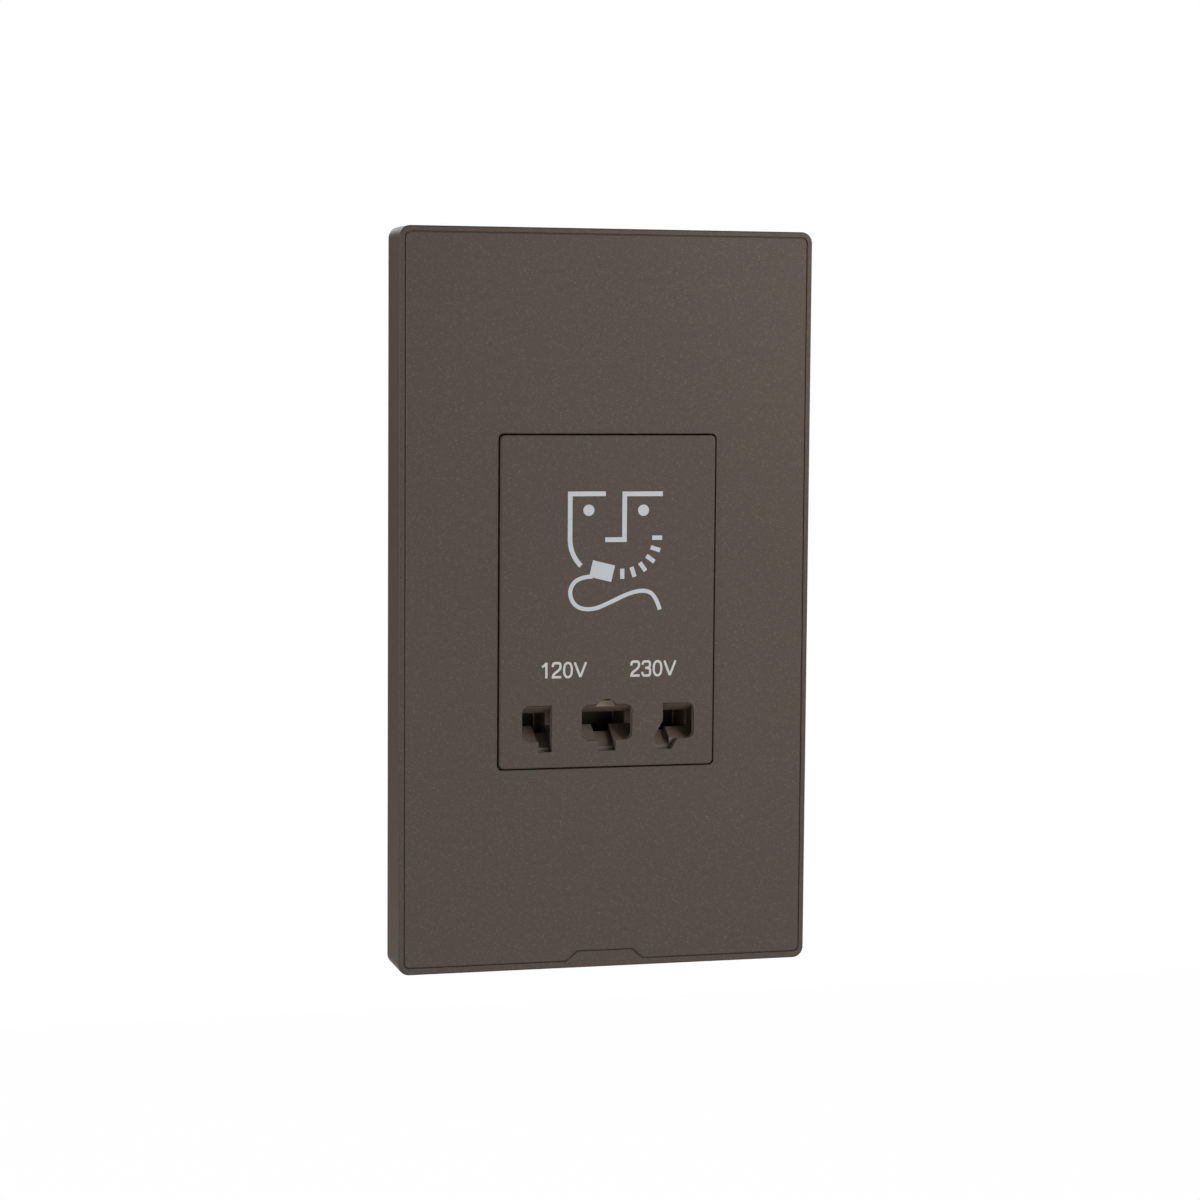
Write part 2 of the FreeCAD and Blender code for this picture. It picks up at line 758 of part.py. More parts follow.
def socket_face():
    piece = Piece("socket_face")
    outline = block(module_half_width, -module_half_height, module_half_height)
    piece.pad("block", "XZ", module_back, face_front - module_back, outline)
    piece.round("corners", s.module_corner, edges_along_y(outline))
    piece.round("front_edge", s.module_edge, edges_at_front(face_front))
    hollow = block(inner_half_width, -inner_half_height, inner_half_height)
    piece.pocket("hollow", "XZ", skin_back, skin_back - module_back, hollow)
    left, centre, right = left_aperture(), centre_aperture(), right_aperture()
    piece.pocket("apertures", "XZ", face_front, s.face_skin, left, centre, right)
    rounded = [left[0], left[5]]
    rounded += [centre[0], centre[1], centre[2], centre[7]]
    rounded += [right[1], right[2]]
    piece.round("aperture_corners", s.aperture_round, edges_along_y(rounded))
    # The roof slopes down from the apertures' top edge, as one sheet across all three
    slope = s.roof_drop / s.roof_depth
    roof_back = face_front - s.roof_depth
    under = s.module_edge
    roof_half = shutter_half - s.roof_side_gap
    roof = [
        (-face_front + under, -aperture_top - slope * under),
        (-roof_back, -aperture_top - s.roof_drop),
        (-roof_back, -aperture_top - s.roof_drop + s.roof_sheet),
        (-face_front + under, -aperture_top - slope * under + s.roof_sheet),
    ]
    piece.pad("roof", "YZ", -roof_half, roof_half * 2, roof)
    bump_z = -aperture_top + s.bump_rise - s.bump_radius
    piece.pocket("bump", "XZ", face_front, s.face_skin, (0, bump_z, s.bump_radius))
    # Stops over the shutter's ears
    stop_x = inner_half_width - s.stop_inset
    stop = rect(stop_x, -ear_top, inner_half_width, -ear_top + s.stop_height)
    piece.pad("stops", "XZ", skin_back - s.stop_depth, s.stop_depth, stop, mirrored(stop))
    # The bottom wall is thinner where the shutter comes down to it
    relief_x = cheek_outer + s.relief_gap
    relief = block(relief_x, -relief_low, -inner_half_height)
    relief_depth = skin_back - shutter_back + s.shutter_gap
    piece.pocket("relief", "XZ", skin_back, relief_depth, relief)
    # Bosses for the two screws from the back
    places = [(side * screw_x, screw_z) for side in (1, -1)]
    boss_back = housing_front
    bosses = [square(x, z, s.boss_half) for x, z in places]
    piece.pad("bosses", "XZ", boss_back, skin_back - boss_back, *bosses)
    pilots = [(x, z, s.screw_radius) for x, z in places]
    piece.pocket("pilots", "XZ", boss_back + s.pilot_depth, s.pilot_depth, *pilots)
    # Windows in the bottom wall for the rear housing's hooks
    window_half = s.snap_width / 2 + s.module_gap
    window_low = hook_front - s.snap_height - s.module_gap
    windows = [
        rect(
            side * s.hook_x - window_half,
            -hook_front - s.module_gap,
            side * s.hook_x + window_half,
            -window_low,
        )
        for side in (1, -1)
    ]
    piece.pocket("hook_windows", "XY", -inner_half_height, s.face_wall, *windows)
    # Snaps on both sides for the support frame's windows
    tip = module_half_width + s.snap_reach
    snap = [
        (module_half_width - s.face_wall / 2, -snap_front),
        (module_half_width, -snap_front),
        (tip, -snap_front),
        (module_half_width, -snap_front + s.snap_height),
        (module_half_width - s.face_wall / 2, -snap_front + s.snap_height),
    ]
    for side, name in ((1, "upper"), (-1, "lower")):
        foot = side * snap_z - s.snap_width / 2
        piece.pad(f"{name}_snaps", "XY", foot, s.snap_width, snap, mirrored(snap))
    return piece


def shutter():
    piece = Piece("shutter")
    bottom = -shutter_bottom
    low_front = -aperture_bottom
    high_back = low_front + s.ramp_rise
    wedge = [
        (-shutter_front, bottom),
        (-shutter_back, bottom),
        (-shutter_back, high_back),
        (-shutter_front, low_front),
    ]
    piece.pad("ramp", "YZ", -shutter_half, shutter_half * 2, wedge)
    # Lower ramps behind the blade slots, parallel to the main ramp
    floor_front = low_front - s.slot_ramp_drop
    floor_back = high_back - s.slot_ramp_drop
    above = high_back + s.cheek
    groove = [
        (-shutter_front, floor_front),
        (-shutter_back, floor_back),
        (-shutter_back, above),
        (-shutter_front, above),
    ]
    piece.pocket("left_groove", "YZ", -left_inner, left_slot - left_inner, groove)
    piece.pocket("centre_groove", "YZ", s.notch_half, s.notch_half * 2, groove)
    foot = blade_knee - (slot_bottom - aperture_bottom) * s.blade_slope
    piece.pocket("right_groove", "YZ", foot, foot - blade_outer, groove)
    right_step = rect(blade_outer, high_back - s.right_ramp_drop, shutter_half, above)
    piece.pocket("right_step", "XZ", shutter_front, s.shutter_depth, right_step)
    # Cheeks at both ends, with an ear over each spring
    ear_outer = inner_half_width - s.ear_gap
    cheek = rect(shutter_half, bottom, cheek_outer, -ear_top)
    piece.pad("cheeks", "XZ", shutter_back, s.shutter_depth, cheek, mirrored(cheek))
    ear = rect(cheek_outer, -ear_top - s.ear_height, ear_outer, -ear_top)
    ear_back = shutter_front - s.ear_depth
    piece.pad("ears", "XZ", ear_back, s.ear_depth, ear, mirrored(ear))
    # Arm up the right side, with the cam that works the switch
    stem = rect(shutter_half, -ear_top, cheek_outer, -arm_top)
    piece.pad("stem", "XZ", shutter_back, s.arm_depth, stem)
    cam_top = shutter_back - (arm_bottom - arm_top) * s.cam_slope
    arm_front = shutter_back + s.arm_depth
    cam = [
        (-arm_front, -arm_bottom),
        (-shutter_back, -arm_bottom),
        (-cam_top, -arm_top),
        (-arm_front, -arm_top),
    ]
    piece.pad("cam", "YZ", cheek_outer - s.arm_width, s.arm_width, cam)
    return piece


# Coil of round wire, drawn as a many-sided helix so that its faces stay few
def shutter_springs():
    steps_per_turn = 8
    sides = 4
    ear_under = -ear_top - s.ear_height
    floor = -inner_half_height
    length = number(ear_under - floor)
    wire = number(s.spring_wire)
    radius = number(s.spring_radius)
    turns = number(s.spring_turns)
    climb = length - wire
    steps = int(round(turns * steps_per_turn))
    path = []
    for n in range(steps + 1):
        angle = 2 * math.pi * n / steps_per_turn
        height = wire / 2 + climb * n / steps
        path.append(FreeCAD.Vector(radius * math.cos(angle), radius * math.sin(angle), height))
    spine = Part.makePolygon(path)
    along = path[1] - path[0]
    outward = FreeCAD.Vector(1, 0, 0)
    sideways = along.cross(outward).normalize()
    outward = sideways.cross(along).normalize()
    ring = []
    for n in range(sides + 1):
        turn = 2 * math.pi * n / sides
        offset = outward * (math.cos(turn) * wire / 2) + sideways * (math.sin(turn) * wire / 2)
        ring.append(path[0] + offset)
    coil = Part.Wire(spine).makePipeShell([Part.makePolygon(ring)], True, False, 1)
    if not coil.isValid():
        raise RuntimeError("spring failed")
    axis_x = inner_half_width - s.spring_inset
    axis_y = -(shutter_front - s.ear_depth / 2)
    for name, side in (("shutter_spring_left", -1), ("shutter_spring_right", 1)):
        spring = doc.addObject("Part::Feature", name)
        spring.Label = name
        spring.Shape = coil
        spring.Placement = FreeCAD.Placement(
            FreeCAD.Vector(side * number(axis_x), number(axis_y), number(floor)),
            FreeCAD.Rotation(),
        )
        pieces.append(spring)


contact_ways = {
    "contact_120v": (-left_outer, -left_inner),
    "contact_common": (-s.centre_half, s.centre_half),
    "contact_230v": (blade_outer, right_outer),
}
pin_top = aperture_top + s.roof_drop
channel_top = pin_top - s.contact_strip - s.channel_gap
channel_bottom = carrier_bottom - s.carrier_floor
carrier_half = room_half_width - s.carrier_side_gap


def tag_x(way):
    return (way[0] + way[1]) / 2


def contact_carrier():
    piece = Piece("contact_carrier")
    outline = block(carrier_half, -carrier_bottom, -carrier_top)
    piece.pad("block", "XZ", carrier_back, carrier_depth, outline)
    channels = [
        rect(low - s.channel_gap, -channel_bottom, high + s.channel_gap, -channel_top)
        for low, high in contact_ways.values()
    ]
    piece.pocket("channels", "XZ", carrier_front, channel_depth, *channels)
    # Slots in the back wall for the contacts' tags
    slot_half = s.tag_width / 2 + s.channel_gap
    slots = [
        rect(
            tag_x(way) - slot_half,
            -pin_top - s.channel_gap,
            tag_x(way) + slot_half,
            -channel_top,
        )
        for way in contact_ways.values()
    ]
    piece.pocket("tag_slots", "XZ", carrier_back + s.channel_wall, s.channel_wall, *slots)
    return piece


# Bent strip: a fixed leaf over the pin, and a lower leaf that bows up to press on it
def contact(name, way):
    piece = Piece(name)
    low = way[0] + s.contact_side_gap
    width = way[1] - way[0] - s.contact_side_gap * 2
    length = channel_depth - s.contact_setback - s.contact_back_gap
    back = contact_front - length
    thick = s.contact_strip
    under = -pin_top
    foot = -channel_bottom
    crest = under - s.contact_mouth
    lip = foot + thick
    bow = contact_front - length / 3
    strip = [
        (-contact_front, under + thick),
        (-contact_front, under),
        (-back - thick, under),
        (-back - thick, foot + thick * 2),
        (-bow, crest),
        (-contact_front, lip + thick),
        (-contact_front, lip),
        (-bow, crest - thick),
        (-back - thick, foot),
        (-back, foot),
        (-back, under + thick),
    ]
    piece.pad("strip", "YZ", low, width, strip)
    # The tag goes out through the carrier's back and up through the board
    tag = [
        (-back, under),
        (-tag_back + thick, under),
        (-tag_back + thick, pin_top_z),
        (-tag_back, pin_top_z),
        (-tag_back, under + thick),
        (-back, under + thick),
    ]
    piece.pad("tag", "YZ", tag_x(way) - s.tag_width / 2, s.tag_width, tag)
    return piece


# Where the pieces' pins come through the board: (x, y, half width, half depth)
def board_pins():
    tag_y = s.contact_strip / 2 - tag_back
    pins = [(tag_x(way), tag_y, s.tag_width / 2, s.contact_strip / 2) for way in contact_ways.values()]
    half = s.switch_pin / 2
    pins += [(switch_middle + s.switch_pin_pitch * n, switch_pin_y, half, half) for n in (-1, 0, 1)]
    bar_y = busbar_y + s.busbar_thickness / 2
    for side in (-1, 1):
        pins.append((side * s.terminal_x, bar_y, s.busbar_width / 2, s.busbar_thickness / 2))
    pins += [(x, y, half, half) for x, y in cutout_pins() + bobbin_pin_places()]
    return pins


cutout_right = board_half - s.cutout_inset
cutout_left = stack_half + s.cutout_side_gap
cutout_front = window_front + s.rail_thickness + s.cutout_gap
cutout_length = bobbin_length - (s.rail_thickness + s.cutout_gap) * 2


def cutout_pins():
    x = (cutout_left + cutout_right) / 2
    inset = s.switch_pin
    return [(x, cutout_front + inset), (x, cutout_front + cutout_length - inset)]


def circuit_board():
    piece = Piece("circuit_board")
    outline = rect(-board_half, -board_front, board_half, board_back)
    piece.pad("board", "XY", board_bottom, s.board_thickness, outline)
    gap = s.pin_gap
    holes = [
        rect(x - a - gap, y - b - gap, x + a + gap, y + b + gap) for x, y, a, b in board_pins()
    ]
    piece.pocket("pin_holes", "XY", board_top, s.board_thickness, *holes)
    return piece


def switch_body():
    piece = Piece("switch_body")
    outline = rect(switch_left, board_bottom - s.switch_height, switch_right, board_bottom)
    piece.pad("case", "XZ", switch_front - s.switch_depth, s.switch_depth, outline)
    piece.round("case_corners", s.switch_pin / 2, edges_along_y(outline))
    bore = (plunger_x, plunger_z, s.plunger_radius + s.plunger_clearance)
    piece.pocket("plunger_bore", "XZ", switch_front, s.plunger_bore_depth, bore)
    return piece


# The plunger's tip stands a small gap away from the cam's slope
def switch_plunger():
    piece = Piece("switch_plunger")
    cam_here = shutter_back - (arm_bottom + plunger_z) * s.cam_slope
    slant = Size(math.hypot(1, number(s.cam_slope)), f"sqrt(1 + {words(s.cam_slope)} ^ 2)")
    flat = s.plunger_radius - s.plunger_chamfer
    tip = cam_here - flat * s.cam_slope - s.cam_gap * slant
    rod = (plunger_x, plunger_z, s.plunger_radius)
    piece.pad("rod", "XZ", tip - s.plunger_length, s.plunger_length, rod)
    piece.chamfer("tip", s.plunger_chamfer, edges_at_front(tip))
    return piece


# Simple solids with sizes and places bound to the sheet
def place(item, x, y, z, rotation=None):
    base = FreeCAD.Vector(number(x), number(y), number(z))
    item.Placement = FreeCAD.Placement(base, rotation or FreeCAD.Rotation())
    for axis, size in (("x", x), ("y", y), ("z", z)):
        bind(item, f"Placement.Base.{axis}", size)


def box(name, low, size):
    item = doc.addObject("Part::Box", name)
    for path, length in zip(("Length", "Width", "Height"), size):
        setattr(item, path, number(length))
        bind(item, path, length)
    place(item, *low)
    return item


# Ways that a round piece can point: the turn that lays it so, and its step along each axis
upward = (FreeCAD.Rotation(), (0, 0, 1))
to_wall = (FreeCAD.Rotation(FreeCAD.Vector(1, 0, 0), -90), (0, 1, 0))
to_room = (FreeCAD.Rotation(FreeCAD.Vector(1, 0, 0), 90), (0, -1, 0))


def cylinder(name, foot, radius, height, way):
    item = doc.addObject("Part::Cylinder", name)
    item.Radius = number(radius)
    item.Height = number(height)
    bind(item, "Radius", radius)
    bind(item, "Height", height)
    place(item, *foot, way[0])
    return item


def cut(name, base, tool):
    item = doc.addObject("Part::Cut", name)
    item.Base = base
    item.Tool = tool
    return item


def fuse(name, *shapes):
    item = doc.addObject("Part::MultiFuse", name)
    item.Shapes = list(shapes)
    return item


# Like pieces share one node, as separate solids
def group(name, members):
    item = doc.addObject("Part::Compound", name)
    item.Label = name
    item.Links = members
    pieces.append(item)


def switch_pins():
    pins = []
    half = s.switch_pin / 2
    for n in (-1, 0, 1):
        low = (switch_middle + s.switch_pin_pitch * n - half, switch_pin_y - half, board_bottom)
        size = (s.switch_pin, s.switch_pin, pin_top_z - board_bottom)
        pins.append(box(f"switch_pin_{n + 2}", low, size))
    group("switch_pins", pins)


# Rectangle about the transformer's middle, seen from the front
def core_rect(half_x, half_z):
    return block(half_x, core_centre_z - half_z, core_centre_z + half_z)


def core_e_stack():
    piece = Piece("core_e_stack")
    unit = core_unit
    heights = (-3, 3, 3, 2, 2, 1, 1, -1, -1, -2, -2, -3)
    depths = (core_back, core_back, window_front, window_front, window_back, window_back)
    depths += (window_front, window_front, window_back, window_back, window_front, window_front)
    outline = [(y, core_centre_z + unit * n) for y, n in zip(depths, heights)]
    piece.pad("laminations", "YZ", -stack_half, stack_half * 2, outline)
    return piece


def core_i_stack():
    piece = Piece("core_i_stack")
    half = core_unit * 3
    low, high = core_centre_z - half, core_centre_z + half
    outline = rect(core_front, low, window_front, high)
    piece.pad("laminations", "YZ", -stack_half, stack_half * 2, outline)
    return piece


def coil_bobbin():
    piece = Piece("coil_bobbin")
    piece.pad("tube", "XZ", -window_back, bobbin_length, core_rect(tube_x, tube_z))
    flange = core_rect(flange_x, flange_z)
    for name, front in (
        ("front_flange", window_front),
        ("divider", divider_front),
        ("back_flange", window_back - s.bobbin_wall),
    ):
        piece.pad(name, "XZ", -front - s.bobbin_wall, s.bobbin_wall, flange)
    hole = core_rect(tube_x - s.bobbin_wall, tube_z - s.bobbin_wall)
    piece.pocket("core_hole", "XZ", -window_front, bobbin_length, hole)
    # Rails under both flanges carry the pins to the board
    under = core_centre_z - flange_z
    foot = board_top + s.rail_board_gap
    rail = rect(flange_x - rail_width, foot, flange_x, under + s.bobbin_wall)
    for name, back in (("front_rails", window_front + s.rail_thickness), ("back_rails", window_back)):
        piece.pad(name, "XZ", -back, s.rail_thickness, rail, mirrored(rail))
    return piece


def bobbin_pin_places():
    x = flange_x - rail_width / 2
    middle = s.rail_thickness / 2
    return [(side * x, y) for side in (-1, 1) for y in (window_front + middle, window_back - middle)]


def bobbin_pins():
    half = s.switch_pin / 2
    foot = board_bottom - s.pin_reach
    size = (s.switch_pin, s.switch_pin, board_top + s.rail_board_gap - foot)
    pins = [
        box(f"bobbin_pin_{n}", (x - half, y - half, foot), size)
        for n, (x, y) in enumerate(bobbin_pin_places())
    ]
    group("bobbin_pins", pins)


# A winding or its tape, as a closed ring round the bobbin's tube
def ring(name, front, length, inner, outer, corner, hole_corner=None):
    piece = Piece(name)
    outline = core_rect(*outer)
    piece.pad("turns", "XZ", -front - length, length, outline)
    hole = core_rect(*inner)
    piece.pocket("hole", "XZ", -front, length, hole)
    if hole_corner:
        piece.round("hole_corners", hole_corner, edges_along_y(hole))
    piece.round("corners", corner, edges_along_y(outline))
    return piece


def windings():
    inner = (tube_x, tube_z)
    coil_depth = flange_z - tube_z - s.tape_thickness - s.coil_margin
    outer = (inner[0] + coil_depth, inner[1] + coil_depth)
    wrapped = (outer[0] + s.tape_thickness, outer[1] + s.tape_thickness)
    length = divider_front - window_front - s.bobbin_wall - s.coil_gap * 2
    tape_length = length - s.tape_margin * 2
    for side, section in (
        ("primary", window_front + s.bobbin_wall + s.coil_gap),
        ("secondary", divider_front + s.bobbin_wall + s.coil_gap),
    ):
        ring(f"{side}_winding", section, length, inner, outer, s.coil_corner)
        tape_front = section + s.tape_margin
        tape_corner = s.coil_corner + s.tape_thickness
        ring(f"{side}_tape", tape_front, tape_length, outer, wrapped, tape_corner, s.coil_corner)


# Steel strap round the core, with a wing on each side for a screw
def core_clamp():
    piece = Piece("core_clamp")
    low = core_centre_z - core_unit * 3
    high = core_centre_z + core_unit * 3
    thick = s.clamp_thickness
    strap = [
        (core_front, low - thick),
        (core_back + thick, low - thick),
        (core_back + thick, high + thick),
        (core_front, high + thick),
        (core_front, high),
        (core_back, high),
        (core_back, low),
        (core_front, low),
    ]
    piece.pad("strap", "YZ", -s.clamp_width / 2, s.clamp_width, strap)
    wings = core_rect(clamp_hole_x + s.clamp_wing_margin, s.clamp_wing_height / 2)
    piece.pad("wings", "XZ", -core_back - thick, thick, wings)
    holes = [
        (side * clamp_hole_x, core_centre_z, s.clamp_screw_radius + s.fit_gap)
        for side in (-1, 1)
    ]
    piece.pocket("wing_holes", "XZ", -core_back, thick, *holes)
    return piece


def thermal_cutout():
    piece = Piece("thermal_cutout")
    outline = rect(cutout_left, board_top, cutout_right, board_top + s.cutout_height)
    piece.pad("case", "XZ", -cutout_front - cutout_length, cutout_length, outline)
    half = s.switch_pin / 2
    legs = [rect(x - half, y - half, x + half, y + half) for x, y in cutout_pins()]
    foot = board_bottom - s.pin_reach
    piece.pad("legs", "XY", foot, board_top - foot, *legs)
    return piece


# One screw that points the given way: a shank with a slotted head at its foot
def screw(name, foot, way, radius, length, head_radius, head):
    steps = way[1]
    neck = [place + step * head for place, step in zip(foot, steps)]
    shank = cylinder(f"{name}_shank", neck, radius, length, way)
    cap = cylinder(f"{name}_head", foot, head_radius, head, way)
    slot_width = head_radius / 4
    slot_depth = head / 2
    slot = [head_radius * 2] + [slot_depth if step else slot_width for step in steps[1:]]
    low = [
        place + step * slot_depth / 2 - length / 2
        for place, step, length in zip(foot, steps, slot)
    ]
    return cut(name, fuse(f"{name}_blank", shank, cap), box(f"{name}_slot", low, slot))


terminal_middle_y = terminal_back - s.terminal_length / 2
terminal_middle_z = terminal_top - s.terminal_height / 2
lug_back = s.lug_thickness - housing_front


def housing_screws():
    foot_y = lug_back + s.screw_head
    screws = [
        screw(
            f"housing_screw_{n}",
            (side * screw_x, foot_y, screw_z),
            to_room,
            s.screw_radius,
            s.screw_length,
            s.screw_head_radius,
            s.screw_head,
        )
        for n, side in enumerate((-1, 1))
    ]
    group("housing_screws", screws)


def clamp_screws():
    length = housing_depth - s.housing_wall / 2 - core_back
    screws = [
        screw(
            f"clamp_screw_{n}",
            (side * clamp_hole_x, core_back - s.clamp_screw_head, core_centre_z),
            to_wall,
            s.clamp_screw_radius,
            length,
            s.clamp_screw_head_radius,
            s.clamp_screw_head,
        )
        for n, side in enumerate((-1, 1))
    ]
    group("clamp_screws", screws)


def terminals():
    for name, side in (("terminal_live", -1), ("terminal_neutral", 1)):
        x = side * s.terminal_x
        low = (x - s.terminal_width / 2, terminal_back - s.terminal_length)
        low += (terminal_top - s.terminal_height,)
        size = (s.terminal_width, s.terminal_length, s.terminal_height)
        blank = box(f"{name}_blank", low, size)
        wire_foot = (x, low[1], terminal_middle_z)
        wire = cylinder(f"{name}_wire", wire_foot, s.wire_bore, s.terminal_length, to_wall)
        thread_foot = (x, terminal_middle_y, low[2])
        thread = cylinder(f"{name}_thread", thread_foot, s.clamp_bore, s.terminal_height / 2, upward)
        block_cut = cut(name, blank, fuse(f"{name}_holes", wire, thread))
        block_cut.Label = name
        pieces.append(block_cut)


# Clamp screws of the terminals, backed off to leave the wire bores free
def terminal_screws():
    tip = terminal_middle_z - s.wire_bore - s.fit_gap
    foot = tip - s.terminal_screw_length - s.terminal_screw_head
    screws = [
        screw(
            f"terminal_screw_{n}",
            (side * s.terminal_x, terminal_middle_y, foot),
            upward,
            s.clamp_bore,
            s.terminal_screw_length,
            s.terminal_screw_head_radius,
            s.terminal_screw_head,
        )
        for n, side in enumerate((-1, 1))
    ]
    group("terminal_screws", screws)


def busbar(name, side):
    piece = Piece(name)
    top = terminal_top
    thick = s.busbar_thickness
    front, back = busbar_y, busbar_y + s.busbar_foot
    strip = [
        (front, top),
        (back, top),
        (back, top + thick),
        (front + thick, top + thick),
        (front + thick, pin_top_z),
        (front, pin_top_z),
    ]
    left = side * s.terminal_x - s.busbar_width / 2
    piece.pad("strip", "YZ", left, s.busbar_width, strip)
    return piece


# Side view of a hook under the rear housing
def hook_profile(surface):
    front = hook_front
    back = front - s.snap_height
    return [
        (-front, surface + s.housing_wall / 2),
        (-front, surface),
        (-back, surface - s.snap_reach),
        (-back, surface + s.housing_wall / 2),
    ]


def rear_housing():
    piece = Piece("rear_housing")
    length = housing_front + housing_depth
    outline = block(housing_half_width, -housing_half_height, housing_half_height)
    piece.pad("box", "XZ", -housing_depth, length, outline)
    piece.round("corners", s.housing_corner, edges_along_y(outline))
    depth = length - s.housing_wall
    room = block(room_half_width, -room_half_height, room_half_height)
    piece.pocket("cavity", "XZ", housing_front, depth, room)
    # Towers with tunnels for the two screws, which hold by lugs at their front end
    places = [(side * screw_x, screw_z) for side in (-1, 1)]
    towers = [square(x, z, s.tower_half) for x, z in places]
    piece.pad("towers", "XZ", -housing_depth, length, *towers)
    tunnels = [(x, z, s.tunnel_radius) for x, z in places]
    piece.pocket("tunnels", "XZ", -lug_back, housing_depth - lug_back, *tunnels)
    holes = [(x, z, s.screw_radius + s.pin_gap) for x, z in places]
    piece.pocket("lug_holes", "XZ", housing_front, s.lug_thickness, *holes)
    # Bosses for the core clamp's screws
    wall_front = -housing_depth + s.housing_wall
    clamp_places = [(side * clamp_hole_x, core_centre_z) for side in (-1, 1)]
    bosses = [square(x, z, s.clamp_screw_head_radius + s.clamp_boss) for x, z in clamp_places]
    boss_front = -core_back - s.clamp_thickness
    piece.pad("clamp_bosses", "XZ", wall_front, boss_front - wall_front, *bosses)
    pilots = [(x, z, s.clamp_screw_radius) for x, z in clamp_places]
    pilot_depth = boss_front - wall_front + s.housing_wall / 2
    piece.pocket("clamp_pilots", "XZ", boss_front, pilot_depth, *pilots)
    # Ledges under the board, and ribs behind the contact carrier
    ledge_x = room_half_width - s.ledge_reach
    ledge = rect(ledge_x, board_bottom - s.ledge_height, room_half_width, board_bottom)
    ledge_back = board_back - s.ledge_margin
    ledge_length = ledge_back - s.ledge_margin
    piece.pad("board_ledges", "XZ", -ledge_back, ledge_length, ledge, mirrored(ledge))
    rib_foot = s.pin_gap - carrier_bottom
    rib = rect(ledge_x, rib_foot, room_half_width, -carrier_top - s.pin_gap)
    piece.pad("carrier_ribs", "XZ", carrier_back - s.rib_height, s.rib_height, rib, mirrored(rib))
    # Cradles that hold the terminal blocks from the sides and from below
    block_x = s.terminal_x - s.terminal_width / 2
    side_gap, wall = s.cradle_gap, s.cradle_wall
    low = terminal_top - s.terminal_height
    high = terminal_middle_z
    left = [
        (block_x - side_gap - wall, -room_half_height),
        (block_x + wall, -room_half_height),
        (block_x + wall, low),
        (block_x - side_gap, low),
        (block_x - side_gap, high),
        (block_x - side_gap - wall, high),
    ]
    right = [(s.terminal_x * 2 - x, z) for x, z in left]
    cradles = [left, right, mirrored(left), mirrored(right)]
    piece.pad("cradles", "XZ", wall_front, s.cradle_length, *cradles)
    # Wire entries at the back, screwdriver holes below, and cooling slots
    entries = [(side * s.terminal_x, terminal_middle_z, s.entry_radius) for side in (-1, 1)]
    rows = [core_centre_z + s.vent_pitch * n for n in (-2, -1, 0, 1, 2)]
    vents = [block(s.vent_length / 2, z - s.vent_width / 2, z + s.vent_width / 2) for z in rows]
    piece.pocket("back_openings", "XZ", wall_front, s.housing_wall, *entries, *vents)
    access = [(side * s.terminal_x, terminal_middle_y, s.entry_radius) for side in (-1, 1)]
    piece.pocket("screwdriver_holes", "XY", -room_half_height, s.housing_wall, *access)
    # Two hooks at the bottom catch in windows of the socket face
    hook = hook_profile(-housing_half_height)
    for side, name in ((1, "right"), (-1, "left")):
        start = side * s.hook_x - s.snap_width / 2
        piece.pad(f"{name}_hook", "YZ", start, s.snap_width, hook)
    return piece


cover_frame()
cover_panel()
support_frame()
socket_face()
shutter()
shutter_springs()
contact_carrier()
for contact_name, contact_way in contact_ways.items():
    contact(contact_name, contact_way)
circuit_board()
switch_body()
switch_plunger()
switch_pins()
core_e_stack()
core_i_stack()
coil_bobbin()
bobbin_pins()
windings()
core_clamp()
thermal_cutout()
housing_screws()
clamp_screws()
terminals()
terminal_screws()
busbar("busbar_live", -1)
busbar("busbar_neutral", 1)
rear_housing()
doc.recompute()

for item in doc.Objects:
    if "Invalid" in item.State or "Error" in item.State:
        raise RuntimeError(f"{item.Name} is {item.State}")
for item in pieces:
    if item.Shape.isNull() or not item.Shape.isValid():
        raise RuntimeError(f"{item.Label} has no valid shape")

os.makedirs("parts", exist_ok=True)
for item in pieces:
    item.Shape.exportStep(f"parts/{item.Label}.step")
    print(f"{item.Label}: {item.Shape.Volume:.0f} mm3, {len(item.Shape.Solids)} solid")
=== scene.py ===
import math
import bpy
import bmesh
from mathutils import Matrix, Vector


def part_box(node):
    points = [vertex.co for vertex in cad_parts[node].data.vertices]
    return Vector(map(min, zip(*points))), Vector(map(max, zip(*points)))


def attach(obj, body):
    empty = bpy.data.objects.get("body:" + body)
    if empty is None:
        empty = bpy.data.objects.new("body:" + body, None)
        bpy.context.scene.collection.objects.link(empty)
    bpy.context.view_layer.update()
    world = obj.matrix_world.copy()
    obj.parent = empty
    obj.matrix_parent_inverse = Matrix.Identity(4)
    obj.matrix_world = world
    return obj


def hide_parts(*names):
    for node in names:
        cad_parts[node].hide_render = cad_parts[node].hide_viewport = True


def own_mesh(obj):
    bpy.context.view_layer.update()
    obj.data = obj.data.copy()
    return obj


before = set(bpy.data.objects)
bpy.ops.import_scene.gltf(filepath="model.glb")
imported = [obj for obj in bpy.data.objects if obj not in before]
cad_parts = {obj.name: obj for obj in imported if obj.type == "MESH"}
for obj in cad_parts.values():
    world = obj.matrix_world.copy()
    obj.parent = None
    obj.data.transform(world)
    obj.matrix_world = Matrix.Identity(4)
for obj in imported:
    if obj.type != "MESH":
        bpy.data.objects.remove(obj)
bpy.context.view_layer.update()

scene = bpy.context.scene
scene.view_settings.view_transform = "Standard"
mm = 0.001
print("frame loaded:", len(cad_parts), "nodes")

